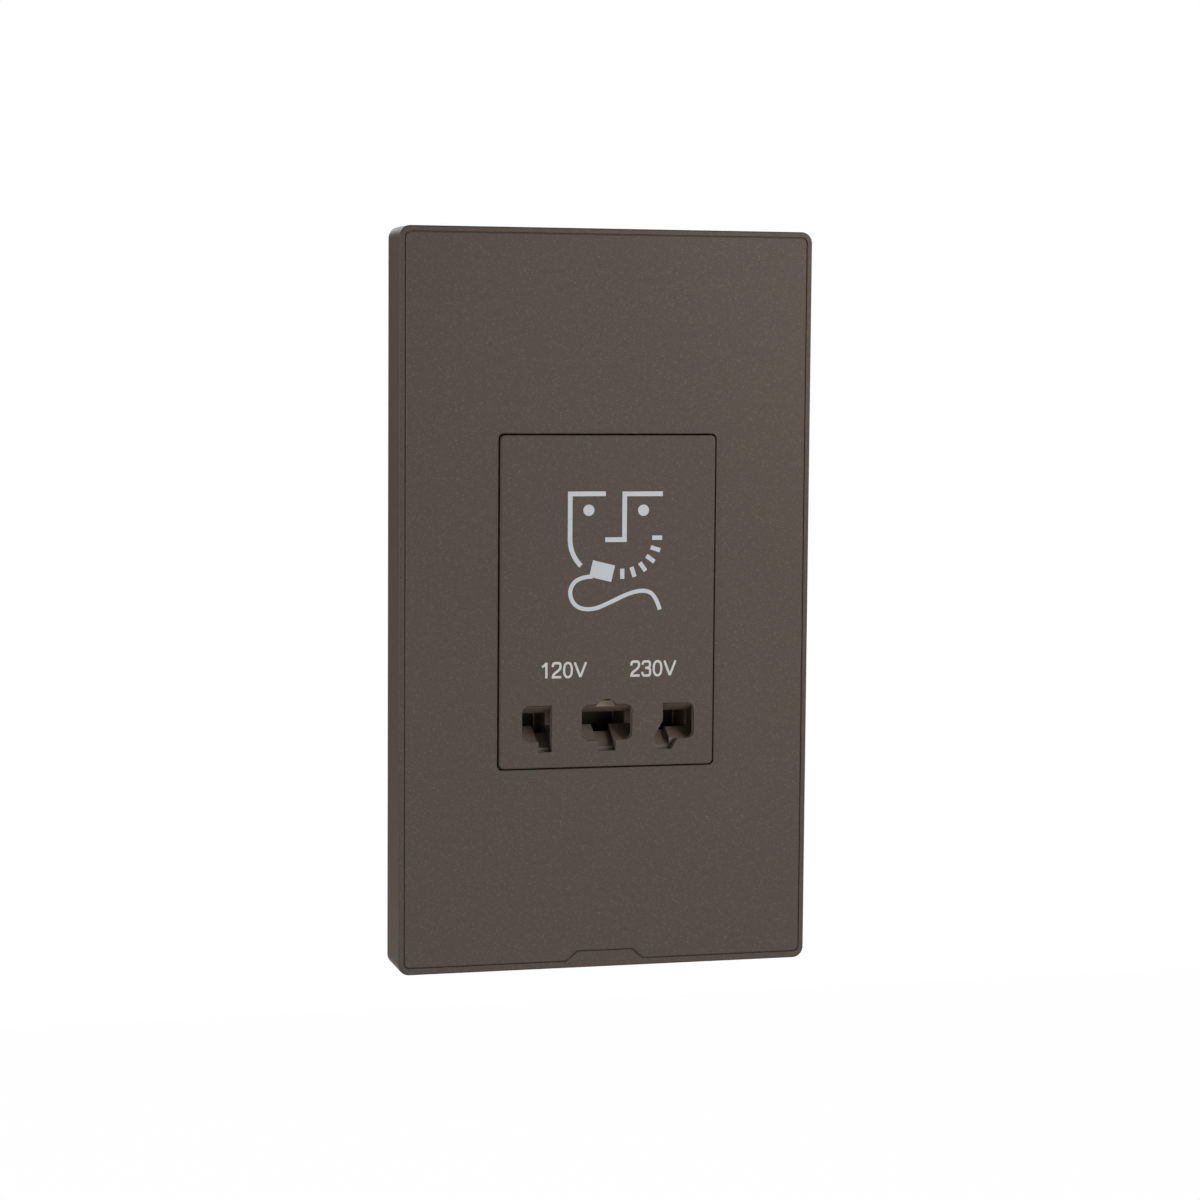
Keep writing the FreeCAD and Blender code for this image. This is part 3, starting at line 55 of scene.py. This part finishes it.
# camera
camera = {
    "location": (-0.155759, -0.590382, 0.050440),
    "turn": (85.2131, -0.4334, -14.8918),
    "lens": 88.753,
}
cameraData = bpy.data.cameras.new("photoCamera")
cameraObject = bpy.data.objects.new("photoCamera", cameraData)
scene.collection.objects.link(cameraObject)
cameraObject.location = camera["location"]
cameraObject.rotation_euler = [math.radians(a) for a in camera["turn"]]
cameraData.lens = camera["lens"]
cameraData.sensor_width = 36
cameraData.clip_start = 0.01
cameraData.clip_end = 50
scene.camera = cameraObject
print("camera placed")


# materials: a small kit for making node trees
def newMaterial(name):
    material = bpy.data.materials.new(name)
    material.use_nodes = True
    tree = material.node_tree
    tree.nodes.clear()
    output = tree.nodes.new("ShaderNodeOutputMaterial")
    shader = tree.nodes.new("ShaderNodeBsdfPrincipled")
    tree.links.new(shader.outputs[0], output.inputs[0])
    coordinates = tree.nodes.new("ShaderNodeTexCoord")
    return material, tree, shader, coordinates.outputs["Object"]


def noise(tree, vector, scale, detail=2.0, roughness=0.5, stretch=(1, 1, 1)):
    mapping = tree.nodes.new("ShaderNodeMapping")
    mapping.inputs["Scale"].default_value = stretch
    tree.links.new(vector, mapping.inputs["Vector"])
    texture = tree.nodes.new("ShaderNodeTexNoise")
    texture.inputs["Scale"].default_value = scale
    texture.inputs["Detail"].default_value = detail
    texture.inputs["Roughness"].default_value = roughness
    tree.links.new(mapping.outputs[0], texture.inputs["Vector"])
    return texture.outputs["Fac"]


def ramp(tree, value, stops):
    node = tree.nodes.new("ShaderNodeValToRGB")
    elements = node.color_ramp.elements
    while len(elements) < len(stops):
        elements.new(0.5)
    for element, (place, color) in zip(elements, stops):
        element.position = place
        element.color = (*color, 1) if len(color) == 3 else color
    tree.links.new(value, node.inputs["Fac"])
    return node.outputs["Color"]


def grey(level):
    return (level, level, level)


def mix(tree, factor, first, second, blend="MIX"):
    node = tree.nodes.new("ShaderNodeMix")
    node.data_type = "RGBA"
    node.blend_type = blend
    for socket, value in (("Factor", factor), ("A", first), ("B", second)):
        target = [i for i in node.inputs if i.name == socket and i.enabled][0]
        if isinstance(value, bpy.types.NodeSocket):
            tree.links.new(value, target)
        elif isinstance(value, tuple):
            target.default_value = (*value, 1)
        else:
            target.default_value = value
    return [o for o in node.outputs if o.enabled][0]


def bump(tree, shader, heights):
    normal = None
    for height, distance, strength in heights:
        node = tree.nodes.new("ShaderNodeBump")
        node.inputs["Distance"].default_value = distance
        node.inputs["Strength"].default_value = strength
        tree.links.new(height, node.inputs["Height"])
        if normal:
            tree.links.new(normal, node.inputs["Normal"])
        normal = node.outputs["Normal"]
    tree.links.new(normal, shader.inputs["Normal"])


# finishes
bronze = {
    "dark": (0.0560, 0.0415, 0.0325),
    "light": (0.0670, 0.0505, 0.0400),
    "flake": (0.170, 0.134, 0.108),
    "grain": 5200,
    "flakes": 5200,
    "flakeStrength": 0.30,
    "cloud": 26,
    # lighter tone: painted light inside the apertures, and the base of the shutter's colour
    "bareAndPaintedLight": (0.130, 0.100, 0.079),
    "paintedLightBlend": 0.5 * mm,
    "roughness": 0.52,
    "metallic": 0.18,
    "specular": 0.28,
}


def shaded(color, shade):
    return tuple(c * shade for c in color)


def bronzeFinish(name, shade=1.0, paintedLightBehind=None):
    material, tree, shader, place = newMaterial(name)
    dark = shaded(bronze["dark"], shade)
    light = shaded(bronze["light"], shade)
    fine = noise(tree, place, bronze["grain"], 3, 0.6)
    broad = noise(tree, place, bronze["cloud"], 2, 0.5)
    base = mix(tree, ramp(tree, fine, [(0.30, grey(0.0)), (0.70, grey(1.0))]), dark, light)
    base = mix(tree, ramp(tree, broad, [(0.35, grey(0.0)), (0.65, grey(0.22))]), base, light)
    # metal flakes: a few small bright cells
    cells = tree.nodes.new("ShaderNodeTexVoronoi")
    cells.inputs["Scale"].default_value = bronze["flakes"]
    tree.links.new(place, cells.inputs["Vector"])
    split = tree.nodes.new("ShaderNodeSeparateColor")
    tree.links.new(cells.outputs["Color"], split.inputs[0])
    bright = ramp(tree, split.outputs[0], [(0.86, grey(0.0)), (0.97, grey(bronze["flakeStrength"]))])
    base = mix(tree, bright, base, shaded(bronze["flake"], shade))
    if paintedLightBehind is not None:
        # painted light: a little way into the apertures, behind the face front, the insert turns to
        # a lighter tone that stands in for light on the roofs and walls there
        axes = tree.nodes.new("ShaderNodeSeparateXYZ")
        tree.links.new(place, axes.inputs[0])
        depth = tree.nodes.new("ShaderNodeMapRange")
        depth.inputs["From Min"].default_value = paintedLightBehind
        depth.inputs["From Max"].default_value = paintedLightBehind + bronze["paintedLightBlend"]
        tree.links.new(axes.outputs["Y"], depth.inputs["Value"])
        bareAndPaintedLight = mix(tree, fine, shaded(bronze["bareAndPaintedLight"], 1.45), shaded(bronze["bareAndPaintedLight"], 1.6))
        base = mix(tree, depth.outputs["Result"], base, bareAndPaintedLight)
    tree.links.new(base, shader.inputs["Base Color"])
    shader.inputs["Metallic"].default_value = bronze["metallic"]
    shader.inputs["Specular IOR Level"].default_value = bronze["specular"]
    smooth, dull = grey(bronze["roughness"] - 0.05), grey(bronze["roughness"] + 0.07)
    tree.links.new(ramp(tree, fine, [(0.2, smooth), (0.8, dull)]), shader.inputs["Roughness"])
    bump(tree, shader, [(fine, 0.00002, 0.22), (broad, 0.00006, 0.08)])
    return material


def mouldedPlastic(name, color, roughness=0.42, grain=2600, depth=0.00002):
    material, tree, shader, place = newMaterial(name)
    fine = noise(tree, place, grain, 2)
    broad = noise(tree, place, 60, 2)
    dark = shaded(color, 0.86)
    base = mix(tree, ramp(tree, broad, [(0.3, grey(0.0)), (0.7, grey(1.0))]), dark, color)
    tree.links.new(base, shader.inputs["Base Color"])
    rough = ramp(tree, fine, [(0.2, grey(roughness - 0.06)), (0.8, grey(roughness + 0.08))])
    tree.links.new(rough, shader.inputs["Roughness"])
    bump(tree, shader, [(fine, depth, 0.25)])
    return material


def metal(name, color, roughness=0.3, stretch=(1, 1, 30), tarnish=0.12):
    material, tree, shader, place = newMaterial(name)
    lines = noise(tree, place, 900, 3, 0.6, stretch)
    patches = noise(tree, place, 140, 3, 0.6)
    dull = shaded(color, 1 - tarnish * 3)
    base = mix(tree, ramp(tree, patches, [(0.4, grey(0.0)), (0.75, grey(0.8))]), color, dull)
    tree.links.new(base, shader.inputs["Base Color"])
    shader.inputs["Metallic"].default_value = 1.0
    rough = ramp(tree, lines, [(0.25, grey(roughness - 0.08)), (0.75, grey(roughness + 0.10))])
    tree.links.new(rough, shader.inputs["Roughness"])
    bump(tree, shader, [(lines, 0.00001, 0.2)])
    return material


def layered(name, first, second, pitch, axis, metallic=0.0, roughness=0.4):
    # fine layers across one axis, as laminations or turns of wire
    material, tree, shader, place = newMaterial(name)
    wave = tree.nodes.new("ShaderNodeTexWave")
    wave.wave_type = "BANDS"
    wave.bands_direction = axis
    # one band of the wave is pi / 10 units long at scale 1
    wave.inputs["Scale"].default_value = 0.314 / pitch
    wave.inputs["Distortion"].default_value = 0.4
    wave.inputs["Detail"].default_value = 1.0
    tree.links.new(place, wave.inputs["Vector"])
    patches = noise(tree, place, 220, 2)
    layers = ramp(tree, wave.outputs["Fac"], [(0.15, grey(0.0)), (0.6, grey(1.0))])
    base = mix(tree, layers, first, second)
    base = mix(tree, ramp(tree, patches, [(0.45, grey(0.0)), (0.8, grey(0.35))]), base, first)
    tree.links.new(base, shader.inputs["Base Color"])
    shader.inputs["Metallic"].default_value = metallic
    shader.inputs["Roughness"].default_value = roughness
    bump(tree, shader, [(wave.outputs["Fac"], pitch * 0.4, 0.6), (patches, 0.00002, 0.2)])
    return material


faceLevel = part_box("socket_face")[0][1]
finishes = {
    "cover_frame": bronzeFinish("bronzeFrame", 0.98),
    "cover_panel": bronzeFinish("bronzePanel"),
    # the insert carries painted light on its surfaces inside the apertures
    "socket_face": bronzeFinish("bronzeInsert", 0.98, faceLevel + 0.5 * mm),
    # the shutter's colour is partly its own lighter moulding and partly painted light on its ramps
    # deep in the apertures
    "shutter": mouldedPlastic("shutterToneAndPaintedLight", shaded(bronze["bareAndPaintedLight"], 0.88), 0.44),
    "support_frame": mouldedPlastic("paleSupport", (0.56, 0.56, 0.54)),
    "rear_housing": mouldedPlastic("blackHousing", (0.018, 0.018, 0.019), 0.38),
    "contact_carrier": mouldedPlastic("brownCarrier", (0.340, 0.265, 0.190), 0.5),
    "shutter_spring_left": metal("springWire", (0.56, 0.56, 0.55), 0.25),
    # painted shade: the contacts get a near-black metal colour so the void seen behind the apertures
    # stays dark
    "contact_120v": metal("contactPaintedShade", (0.034, 0.026, 0.018), 0.5),
    "circuit_board": mouldedPlastic("boardGreen", (0.012, 0.085, 0.030), 0.3, 900),
    "switch_body": mouldedPlastic("switchCase", (0.014, 0.014, 0.015), 0.45),
    "switch_plunger": mouldedPlastic("redPlunger", (0.42, 0.035, 0.022), 0.35),
    "switch_pins": metal("tinnedPins", (0.66, 0.66, 0.64), 0.24),
    "core_e_stack": layered(
        "coreSheets", (0.075, 0.072, 0.070), (0.16, 0.155, 0.15), 0.5 * mm, "X", 0.7, 0.5
    ),
    "coil_bobbin": mouldedPlastic("naturalNylon", (0.66, 0.63, 0.54), 0.5),
    "primary_winding": layered(
        "copperTurns", (0.25, 0.06, 0.022), (0.60, 0.21, 0.08), 0.35 * mm, "Y", 0.8, 0.3
    ),
    "primary_tape": mouldedPlastic("yellowTape", (0.62, 0.38, 0.03), 0.22, 700),
    "core_clamp": metal("zincPlate", (0.58, 0.59, 0.57), 0.34),
    "thermal_cutout": mouldedPlastic("cutoutCase", (0.03, 0.03, 0.032), 0.4),
    "terminal_live": metal("terminalBrass", (0.74, 0.54, 0.24), 0.26),
}
sameFinish = {
    "shutter_spring_right": "shutter_spring_left",
    "contact_common": "contact_120v",
    "contact_230v": "contact_120v",
    "bobbin_pins": "switch_pins",
    "core_i_stack": "core_e_stack",
    "secondary_winding": "primary_winding",
    "secondary_tape": "primary_tape",
    "housing_screws": "core_clamp",
    "clamp_screws": "core_clamp",
    "terminal_screws": "core_clamp",
    "terminal_neutral": "terminal_live",
    "busbar_live": "terminal_live",
    "busbar_neutral": "terminal_live",
}
for nodeName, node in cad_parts.items():
    material = finishes[sameFinish.get(nodeName, nodeName)]
    for slot in node.material_slots:
        slot.material = material
print("finishes assigned")


# printed marks on the insert
ink = {
    "color": (0.43, 0.452, 0.465),
    "warm": (0.470, 0.462, 0.450),
    "level": faceLevel,
    "slot": "ink",
    "thickness": 0.04 * mm,
    "wide": 0.9973,  # print measured on the photograph, set to the insert's true size
    "high": 0.994,
}


def inkFinish(name, color):
    material, tree, shader, place = newMaterial(name)
    fine = noise(tree, place, 4200, 2)
    spread = ramp(tree, fine, [(0.35, grey(0.0)), (0.65, grey(1.0))])
    tree.links.new(mix(tree, spread, shaded(color, 0.93), color), shader.inputs["Base Color"])
    shader.inputs["Roughness"].default_value = 0.5
    bump(tree, shader, [(fine, 0.00001, 0.2)])
    return material


whiteInk = inkFinish("whiteInk", ink["color"])
warmInk = inkFinish("warmInk", ink["warm"])


def onFace(x, z):
    return Vector((x * mm * ink["wide"], ink["level"], z * mm * ink["high"]))


def deselectAll():
    if bpy.context.mode != "OBJECT":
        bpy.ops.object.mode_set(mode="OBJECT")
    bpy.ops.object.select_all(action="DESELECT")


def plate(name, center, width, height, tilt=0.0):
    # flat rectangle standing on the face, ready to be shaped in edit mode
    deselectAll()
    turn = (math.radians(90), math.radians(-tilt), 0)
    bpy.ops.mesh.primitive_plane_add(size=1, location=center, rotation=turn)
    piece = bpy.context.object
    piece.name = piece.data.name = name
    piece.scale = (width * mm, height * mm, 1)
    bpy.ops.object.transform_apply(location=True, rotation=True, scale=True)
    return piece


def selectEdge(piece, middle, reach=0.05 * mm):
    # edge whose middle lies at this place
    bpy.ops.object.mode_set(mode="EDIT")
    bpy.ops.mesh.select_mode(type="EDGE")
    bpy.ops.mesh.select_all(action="DESELECT")
    form = bmesh.from_edit_mesh(piece.data)
    for edge in form.edges:
        if ((edge.verts[0].co + edge.verts[1].co) / 2 - middle).length < reach:
            edge.select = True
    bmesh.update_edit_mesh(piece.data)


def extrudeBy(x, z):
    step = (x * mm * ink["wide"], 0, z * mm * ink["high"])
    bpy.ops.mesh.extrude_region_move(TRANSFORM_OT_translate={"value": step})


def printedIn(piece, material):
    piece.data.materials.clear()
    piece.data.materials.append(material)
    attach(piece, "socket")
    deselectAll()


def finishInk(piece):
    # one thin layer, half of it above the face
    bpy.context.view_layer.objects.active = piece
    piece.select_set(True)
    bpy.ops.object.mode_set(mode="EDIT")
    bpy.ops.mesh.select_all(action="SELECT")
    bpy.ops.mesh.remove_doubles(threshold=0.005 * mm)
    bpy.ops.mesh.normals_make_consistent(inside=False)
    bpy.ops.object.mode_set(mode="OBJECT")
    layer = piece.modifiers.new("layer", "SOLIDIFY")
    layer.thickness = ink["thickness"]
    layer.offset = 0
    bpy.ops.object.modifier_apply(modifier="layer")
    bpy.ops.object.mode_set(mode="EDIT")
    bpy.ops.mesh.select_all(action="SELECT")
    bpy.ops.mesh.normals_make_consistent(inside=False)
    bpy.ops.object.mode_set(mode="OBJECT")
    printedIn(piece, whiteInk)


def stroke(points, width, closed=False):
    # smooth path with a round bevel, as a mesh
    deselectAll()
    bpy.ops.curve.primitive_nurbs_path_add(location=(0, 0, 0))
    path = bpy.context.object
    spline = path.data.splines[0]
    if len(points) > len(spline.points):
        spline.points.add(len(points) - len(spline.points))
    spare = len(spline.points) - len(points)
    for number, point in enumerate(spline.points):
        point.co = (*points[max(number - spare, 0)], 1)
    spline.order_u = 3
    spline.use_endpoint_u = not closed
    spline.use_cyclic_u = closed
    spline.resolution_u = 12
    path.data.dimensions = "3D"
    path.data.bevel_depth = width / 2
    path.data.bevel_resolution = 3
    path.data.use_fill_caps = True
    bpy.ops.object.convert(target="MESH")
    return bpy.context.object


def finishStrokes(piece, name, material):
    # round strokes pressed flat, half of them above the face
    piece.name = piece.data.name = name
    bpy.ops.object.mode_set(mode="EDIT")
    bpy.ops.mesh.select_all(action="SELECT")
    bpy.ops.mesh.remove_doubles(threshold=0.002 * mm)
    bpy.ops.mesh.normals_make_consistent(inside=False)
    depths = [v.co.y for v in piece.data.vertices]
    press = ink["thickness"] / (max(depths) - min(depths))
    bpy.ops.transform.resize(value=(1, press, 1), center_override=(0, ink["level"], 0))
    bpy.ops.object.mode_set(mode="OBJECT")
    bpy.ops.object.shade_smooth_by_angle(angle=math.radians(40))
    printedIn(piece, material)


symbol = {
    "stroke": 0.97,
    "brow": (-8.56, -0.64, 22.05),  # left brow: from, to, height
    "cheekFoot": 12.87,
    "jawRadius": 7.565,
    "jawTurn": 46.2,
    "noseBrow": (2.87, 11.41, 22.0),
    "noseFoot": (-0.67, 12.67),
    "eyes": ((-4.17, 18.71), (7.34, 18.64)),
    "eyeRadius": 1.16,
    "chinCentre": (2.95, 13.0),
    "dash": (6.28, 8.38, 0.90),  # inner and outer radius, width
    "dashes": 6,
    "block": (-1.30, 6.27, 4.76, 3.42, -13.6),
    "cord": [
        (-3.3, 5.2), (-6.3, 5.1), (-8.35, 2.4), (-7.1, -1.0),
        (-3.4, -1.75), (0.6, -0.1), (4.6, 1.8), (8.2, 2.35), (10.2, 0.7), (10.95, -1.78),
    ],
    "cordWidth": 0.88,
}

half = symbol["stroke"] / 2


def brow(name, x0, x1, browZ):
    # a bar and the corner at its left end, with the corner's lower edge selected
    long = x1 - x0 - symbol["stroke"]
    middle = onFace((x0 + symbol["stroke"] + x1) / 2, browZ)
    piece = plate(name, middle, long * ink["wide"], symbol["stroke"])
    selectEdge(piece, onFace(x0 + symbol["stroke"], browZ))
    extrudeBy(-symbol["stroke"], 0)
    selectEdge(piece, onFace(x0 + half, browZ - half / ink["high"]), 0.08 * mm)
    return piece


# left brow and cheek: the brow, the upright, then the jaw's bend by a spin
x0, x1, browZ = symbol["brow"]
piece = brow("symbolCheek", x0, x1, browZ)
extrudeBy(0, symbol["cheekFoot"] - browZ + half)
bpy.ops.mesh.spin(
    steps=14,
    angle=math.radians(symbol["jawTurn"]),
    center=onFace(x0 + half + symbol["jawRadius"], symbol["cheekFoot"]),
    axis=(0, 1, 0),
)
finishInk(piece)

# right brow, nose and its foot
x0, x1, browZ = symbol["noseBrow"]
footX, footZ = symbol["noseFoot"]
piece = brow("symbolNose", x0, x1, browZ)
extrudeBy(0, footZ - browZ + half * 2)
extrudeBy(0, -symbol["stroke"])
selectEdge(piece, onFace(x0, footZ), 0.12 * mm)
extrudeBy(footX - x0, 0)
finishInk(piece)

for number, (x, z) in enumerate(symbol["eyes"], start=1):
    deselectAll()
    bpy.ops.mesh.primitive_circle_add(
        vertices=48,
        radius=symbol["eyeRadius"] * mm * ink["high"],
        fill_type="NGON",
        location=onFace(x, z),
        rotation=(math.radians(90), 0, 0),
    )
    piece = bpy.context.object
    piece.name = piece.data.name = f"symbolEye{number}"
    bpy.ops.object.transform_apply(location=True, rotation=True, scale=True)
    finishInk(piece)

inner, outer, dashWidth = symbol["dash"]
middle = (inner + outer) / 2
for number in range(symbol["dashes"]):
    turn = -90 / (symbol["dashes"] - 1) * number
    x = symbol["chinCentre"][0] + middle * math.cos(math.radians(turn))
    z = symbol["chinCentre"][1] + middle * math.sin(math.radians(turn))
    piece = plate(f"symbolDash{number + 1}", onFace(x, z), outer - inner, dashWidth, turn)
    finishInk(piece)

x, z, width, height, tilt = symbol["block"]
finishInk(plate("symbolShaver", onFace(x, z), width, height, tilt))

# the cord: one smooth stroke
cordPiece = stroke([onFace(x, z) for x, z in symbol["cord"]], symbol["cordWidth"] * mm)
finishStrokes(cordPiece, "symbolCord", whiteInk)
print("symbol printed")

# figures for the voltages, one unit high, as the middles of their strokes
figures = {
    "1": [[(0.15, 0.72), (0.33, 0.79), (0.455, 0.965)], [(0.459, 0.985), (0.459, 0.0)]],
    "2": [
        [(0.12, 0.70), (0.12, 0.945), (0.38, 0.945), (0.63, 0.945)]
        + [(0.66, 0.66), (0.55, 0.50), (0.13, 0.22), (0.13, 0.06)],
        [(0.05, 0.06), (0.70, 0.06)],
    ],
    "3": [
        [(0.12, 0.74), (0.14, 0.945), (0.37, 0.945), (0.61, 0.945)]
        + [(0.64, 0.70), (0.58, 0.54), (0.30, 0.535)],
        [(0.30, 0.535), (0.62, 0.535), (0.66, 0.30), (0.62, 0.05)]
        + [(0.38, 0.05), (0.13, 0.05), (0.10, 0.29)],
    ],
    "0": [
        [(0.65, 0.70), (0.52, 0.945), (0.25, 0.945), (0.12, 0.70)]
        + [(0.12, 0.29), (0.25, 0.05), (0.52, 0.05), (0.65, 0.29)],
    ],
    "V": [[(0.075, 0.975), (0.465, 0.045)], [(0.465, 0.045), (0.855, 0.975)]],
}
lettering = {"weight": 0.158, "advance": 0.777, "closed": "0"}
voltageMarks = {
    "120V": {"x": (-13.86, -4.32), "base": -15.5, "top": -12.25},
    "230V": {"x": (4.80, 14.64), "base": -15.5, "top": -12.25},
}
for words, mark in voltageMarks.items():
    tall = (mark["top"] - mark["base"]) * mm * ink["high"]
    strokes = []
    for place, figure in enumerate(words):
        for points in figures[figure]:
            shift = place * lettering["advance"]
            path = [Vector(((x + shift) * tall, ink["level"], z * tall)) for x, z in points]
            ring = figure in lettering["closed"]
            strokes.append(stroke(path, lettering["weight"] * tall, closed=ring))
    deselectAll()
    for piece in strokes:
        piece.select_set(True)
    bpy.context.view_layer.objects.active = strokes[0]
    bpy.ops.object.join()
    piece = bpy.context.object
    left = min(v.co.x for v in piece.data.vertices)
    right = max(v.co.x for v in piece.data.vertices)
    start, end = mark["x"]
    piece.scale = ((end - start) * mm * ink["wide"] / (right - left), 1, 1)
    piece.location = (onFace(start, 0).x - left * piece.scale.x, 0, onFace(0, mark["base"]).z)
    bpy.ops.object.transform_apply(location=True, rotation=True, scale=True)
    finishStrokes(piece, "mark" + words, warmInk)
print("voltage marks printed")

# return springs, wound at rest; the real ones shorten with the shutter, these keep their rest length
spring = {
    "wire": 0.32 * mm,
    "turns": 6,
    "sides": 10,
    "steps": 28,
    "travel": 2.5 * mm,
}
for side in ("left", "right"):
    nodeName = "shutter_spring_" + side
    low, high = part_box(nodeName)
    axisX, axisY = (low[0] + high[0]) / 2, (low[1] + high[1]) / 2
    middle = Vector((axisX, axisY, low[2] + spring["wire"] / 2))
    coilRadius = (high[0] - low[0] - spring["wire"]) / 2
    length = high[2] - low[2]
    deselectAll()
    bpy.ops.mesh.primitive_circle_add(
        vertices=spring["sides"],
        radius=spring["wire"] / 2,
        location=middle,
        rotation=(math.radians(90), 0, 0),
    )
    piece = bpy.context.object
    piece.name = piece.data.name = "spring" + side.capitalize()
    bpy.ops.object.transform_apply(location=False, rotation=True, scale=True)
    bpy.ops.object.mode_set(mode="EDIT")
    bpy.ops.mesh.select_all(action="SELECT")
    bpy.ops.transform.translate(value=(coilRadius, 0, 0))
    bpy.ops.object.mode_set(mode="OBJECT")
    coil = piece.modifiers.new("coil", "SCREW")
    coil.axis = "Z"
    coil.iterations = spring["turns"]
    coil.screw_offset = (length - spring["wire"]) / spring["turns"]
    coil.steps = coil.render_steps = spring["steps"]
    bpy.ops.object.modifier_apply(modifier="coil")
    bpy.ops.object.transform_apply(location=True, rotation=True, scale=True)
    bpy.ops.object.mode_set(mode="EDIT")
    bpy.ops.mesh.select_all(action="SELECT")
    bpy.ops.mesh.remove_doubles(threshold=0.002 * mm)
    bpy.ops.mesh.fill_holes(sides=spring["sides"])
    bpy.ops.mesh.normals_make_consistent(inside=False)
    bpy.ops.object.mode_set(mode="OBJECT")
    bpy.ops.object.shade_smooth_by_angle(angle=math.radians(50))
    piece.data.materials.clear()
    piece.data.materials.append(finishes["shutter_spring_left"])
    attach(piece, "socket")
    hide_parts(nodeName)
    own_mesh(piece)
deselectAll()
print("springs wound")


# floor, backdrop and light
stageLook = {"floor": -0.45, "half": 1.6, "white": 0.92, "lift": 0.99}


def whiteStage():
    material, tree, shader, place = newMaterial("whiteStage")
    shader.inputs["Base Color"].default_value = (*grey(stageLook["white"]), 1)
    shader.inputs["Roughness"].default_value = 0.9
    glow = tree.nodes.new("ShaderNodeEmission")
    glow.inputs["Strength"].default_value = 1.0
    light = tree.nodes.new("ShaderNodeLightPath")
    add = tree.nodes.new("ShaderNodeMath")
    add.operation = "MAXIMUM"
    tree.links.new(light.outputs["Is Camera Ray"], add.inputs[0])
    tree.links.new(light.outputs["Is Glossy Ray"], add.inputs[1])
    part = tree.nodes.new("ShaderNodeMath")
    part.operation = "MULTIPLY"
    part.inputs[1].default_value = stageLook["lift"]
    tree.links.new(add.outputs[0], part.inputs[0])
    blend = tree.nodes.new("ShaderNodeMixShader")
    output = [n for n in tree.nodes if n.type == "OUTPUT_MATERIAL"][0]
    tree.links.new(part.outputs[0], blend.inputs[0])
    tree.links.new(shader.outputs[0], blend.inputs[1])
    tree.links.new(glow.outputs[0], blend.inputs[2])
    tree.links.new(blend.outputs[0], output.inputs[0])
    return material


deselectAll()
bpy.ops.mesh.primitive_plane_add(size=stageLook["half"] * 2, location=(0, 0, stageLook["floor"]))
floor = bpy.context.object
floor.name = "studioFloor"
floor.data.materials.append(whiteStage())

world = bpy.data.worlds.new("studioWorld")
scene.world = world
world.use_nodes = True
tree = world.node_tree
tree.nodes.clear()
worldOut = tree.nodes.new("ShaderNodeOutputWorld")
soft = tree.nodes.new("ShaderNodeBackground")
white = tree.nodes.new("ShaderNodeBackground")
white.inputs["Color"].default_value = (1, 1, 1, 1)
# the room: bright in front and above, dim behind
room = {"toward": (0.33, -0.85, 0.42), "dim": 0.045, "middle": 0.065, "bright": 0.13}
direction = tree.nodes.new("ShaderNodeTexCoord").outputs["Generated"]
facing = tree.nodes.new("ShaderNodeVectorMath")
facing.operation = "DOT_PRODUCT"
facing.inputs[1].default_value = room["toward"]
tree.links.new(direction, facing.inputs[0])
spread = tree.nodes.new("ShaderNodeMapRange")
spread.inputs["From Min"].default_value = -1.0
tree.links.new(facing.outputs["Value"], spread.inputs["Value"])
levels = [(0.0, grey(room["dim"])), (0.5, grey(room["middle"])), (1.0, grey(room["bright"]))]
tree.links.new(ramp(tree, spread.outputs["Result"], levels), soft.inputs["Color"])
rays = tree.nodes.new("ShaderNodeLightPath")
choose = tree.nodes.new("ShaderNodeMixShader")
tree.links.new(rays.outputs["Is Camera Ray"], choose.inputs[0])
tree.links.new(soft.outputs[0], choose.inputs[1])
tree.links.new(white.outputs[0], choose.inputs[2])
tree.links.new(choose.outputs[0], worldOut.inputs[0])

lamps = {
    "key": {"at": (0.34, -0.36, 0.22), "size": 0.30, "power": 2.6},
    "front": {"at": (0.08, -0.68, -0.15), "size": 0.40, "power": 1.15},
    "left": {"at": (-1.0, -0.12, 0.22), "size": 0.5, "power": 8.0},
    "back": {"at": (-0.25, 1.1, 0.6), "size": 0.5, "power": 4.4},
}
for name, lamp in lamps.items():
    data = bpy.data.lights.new(name + "Lamp", "AREA")
    data.size = lamp["size"]
    data.energy = lamp["power"]
    light = bpy.data.objects.new(name + "Lamp", data)
    scene.collection.objects.link(light)
    light.location = lamp["at"]
    light.rotation_euler = (-Vector(lamp["at"])).to_track_quat("-Z", "Y").to_euler()
print("stage and lamps placed")
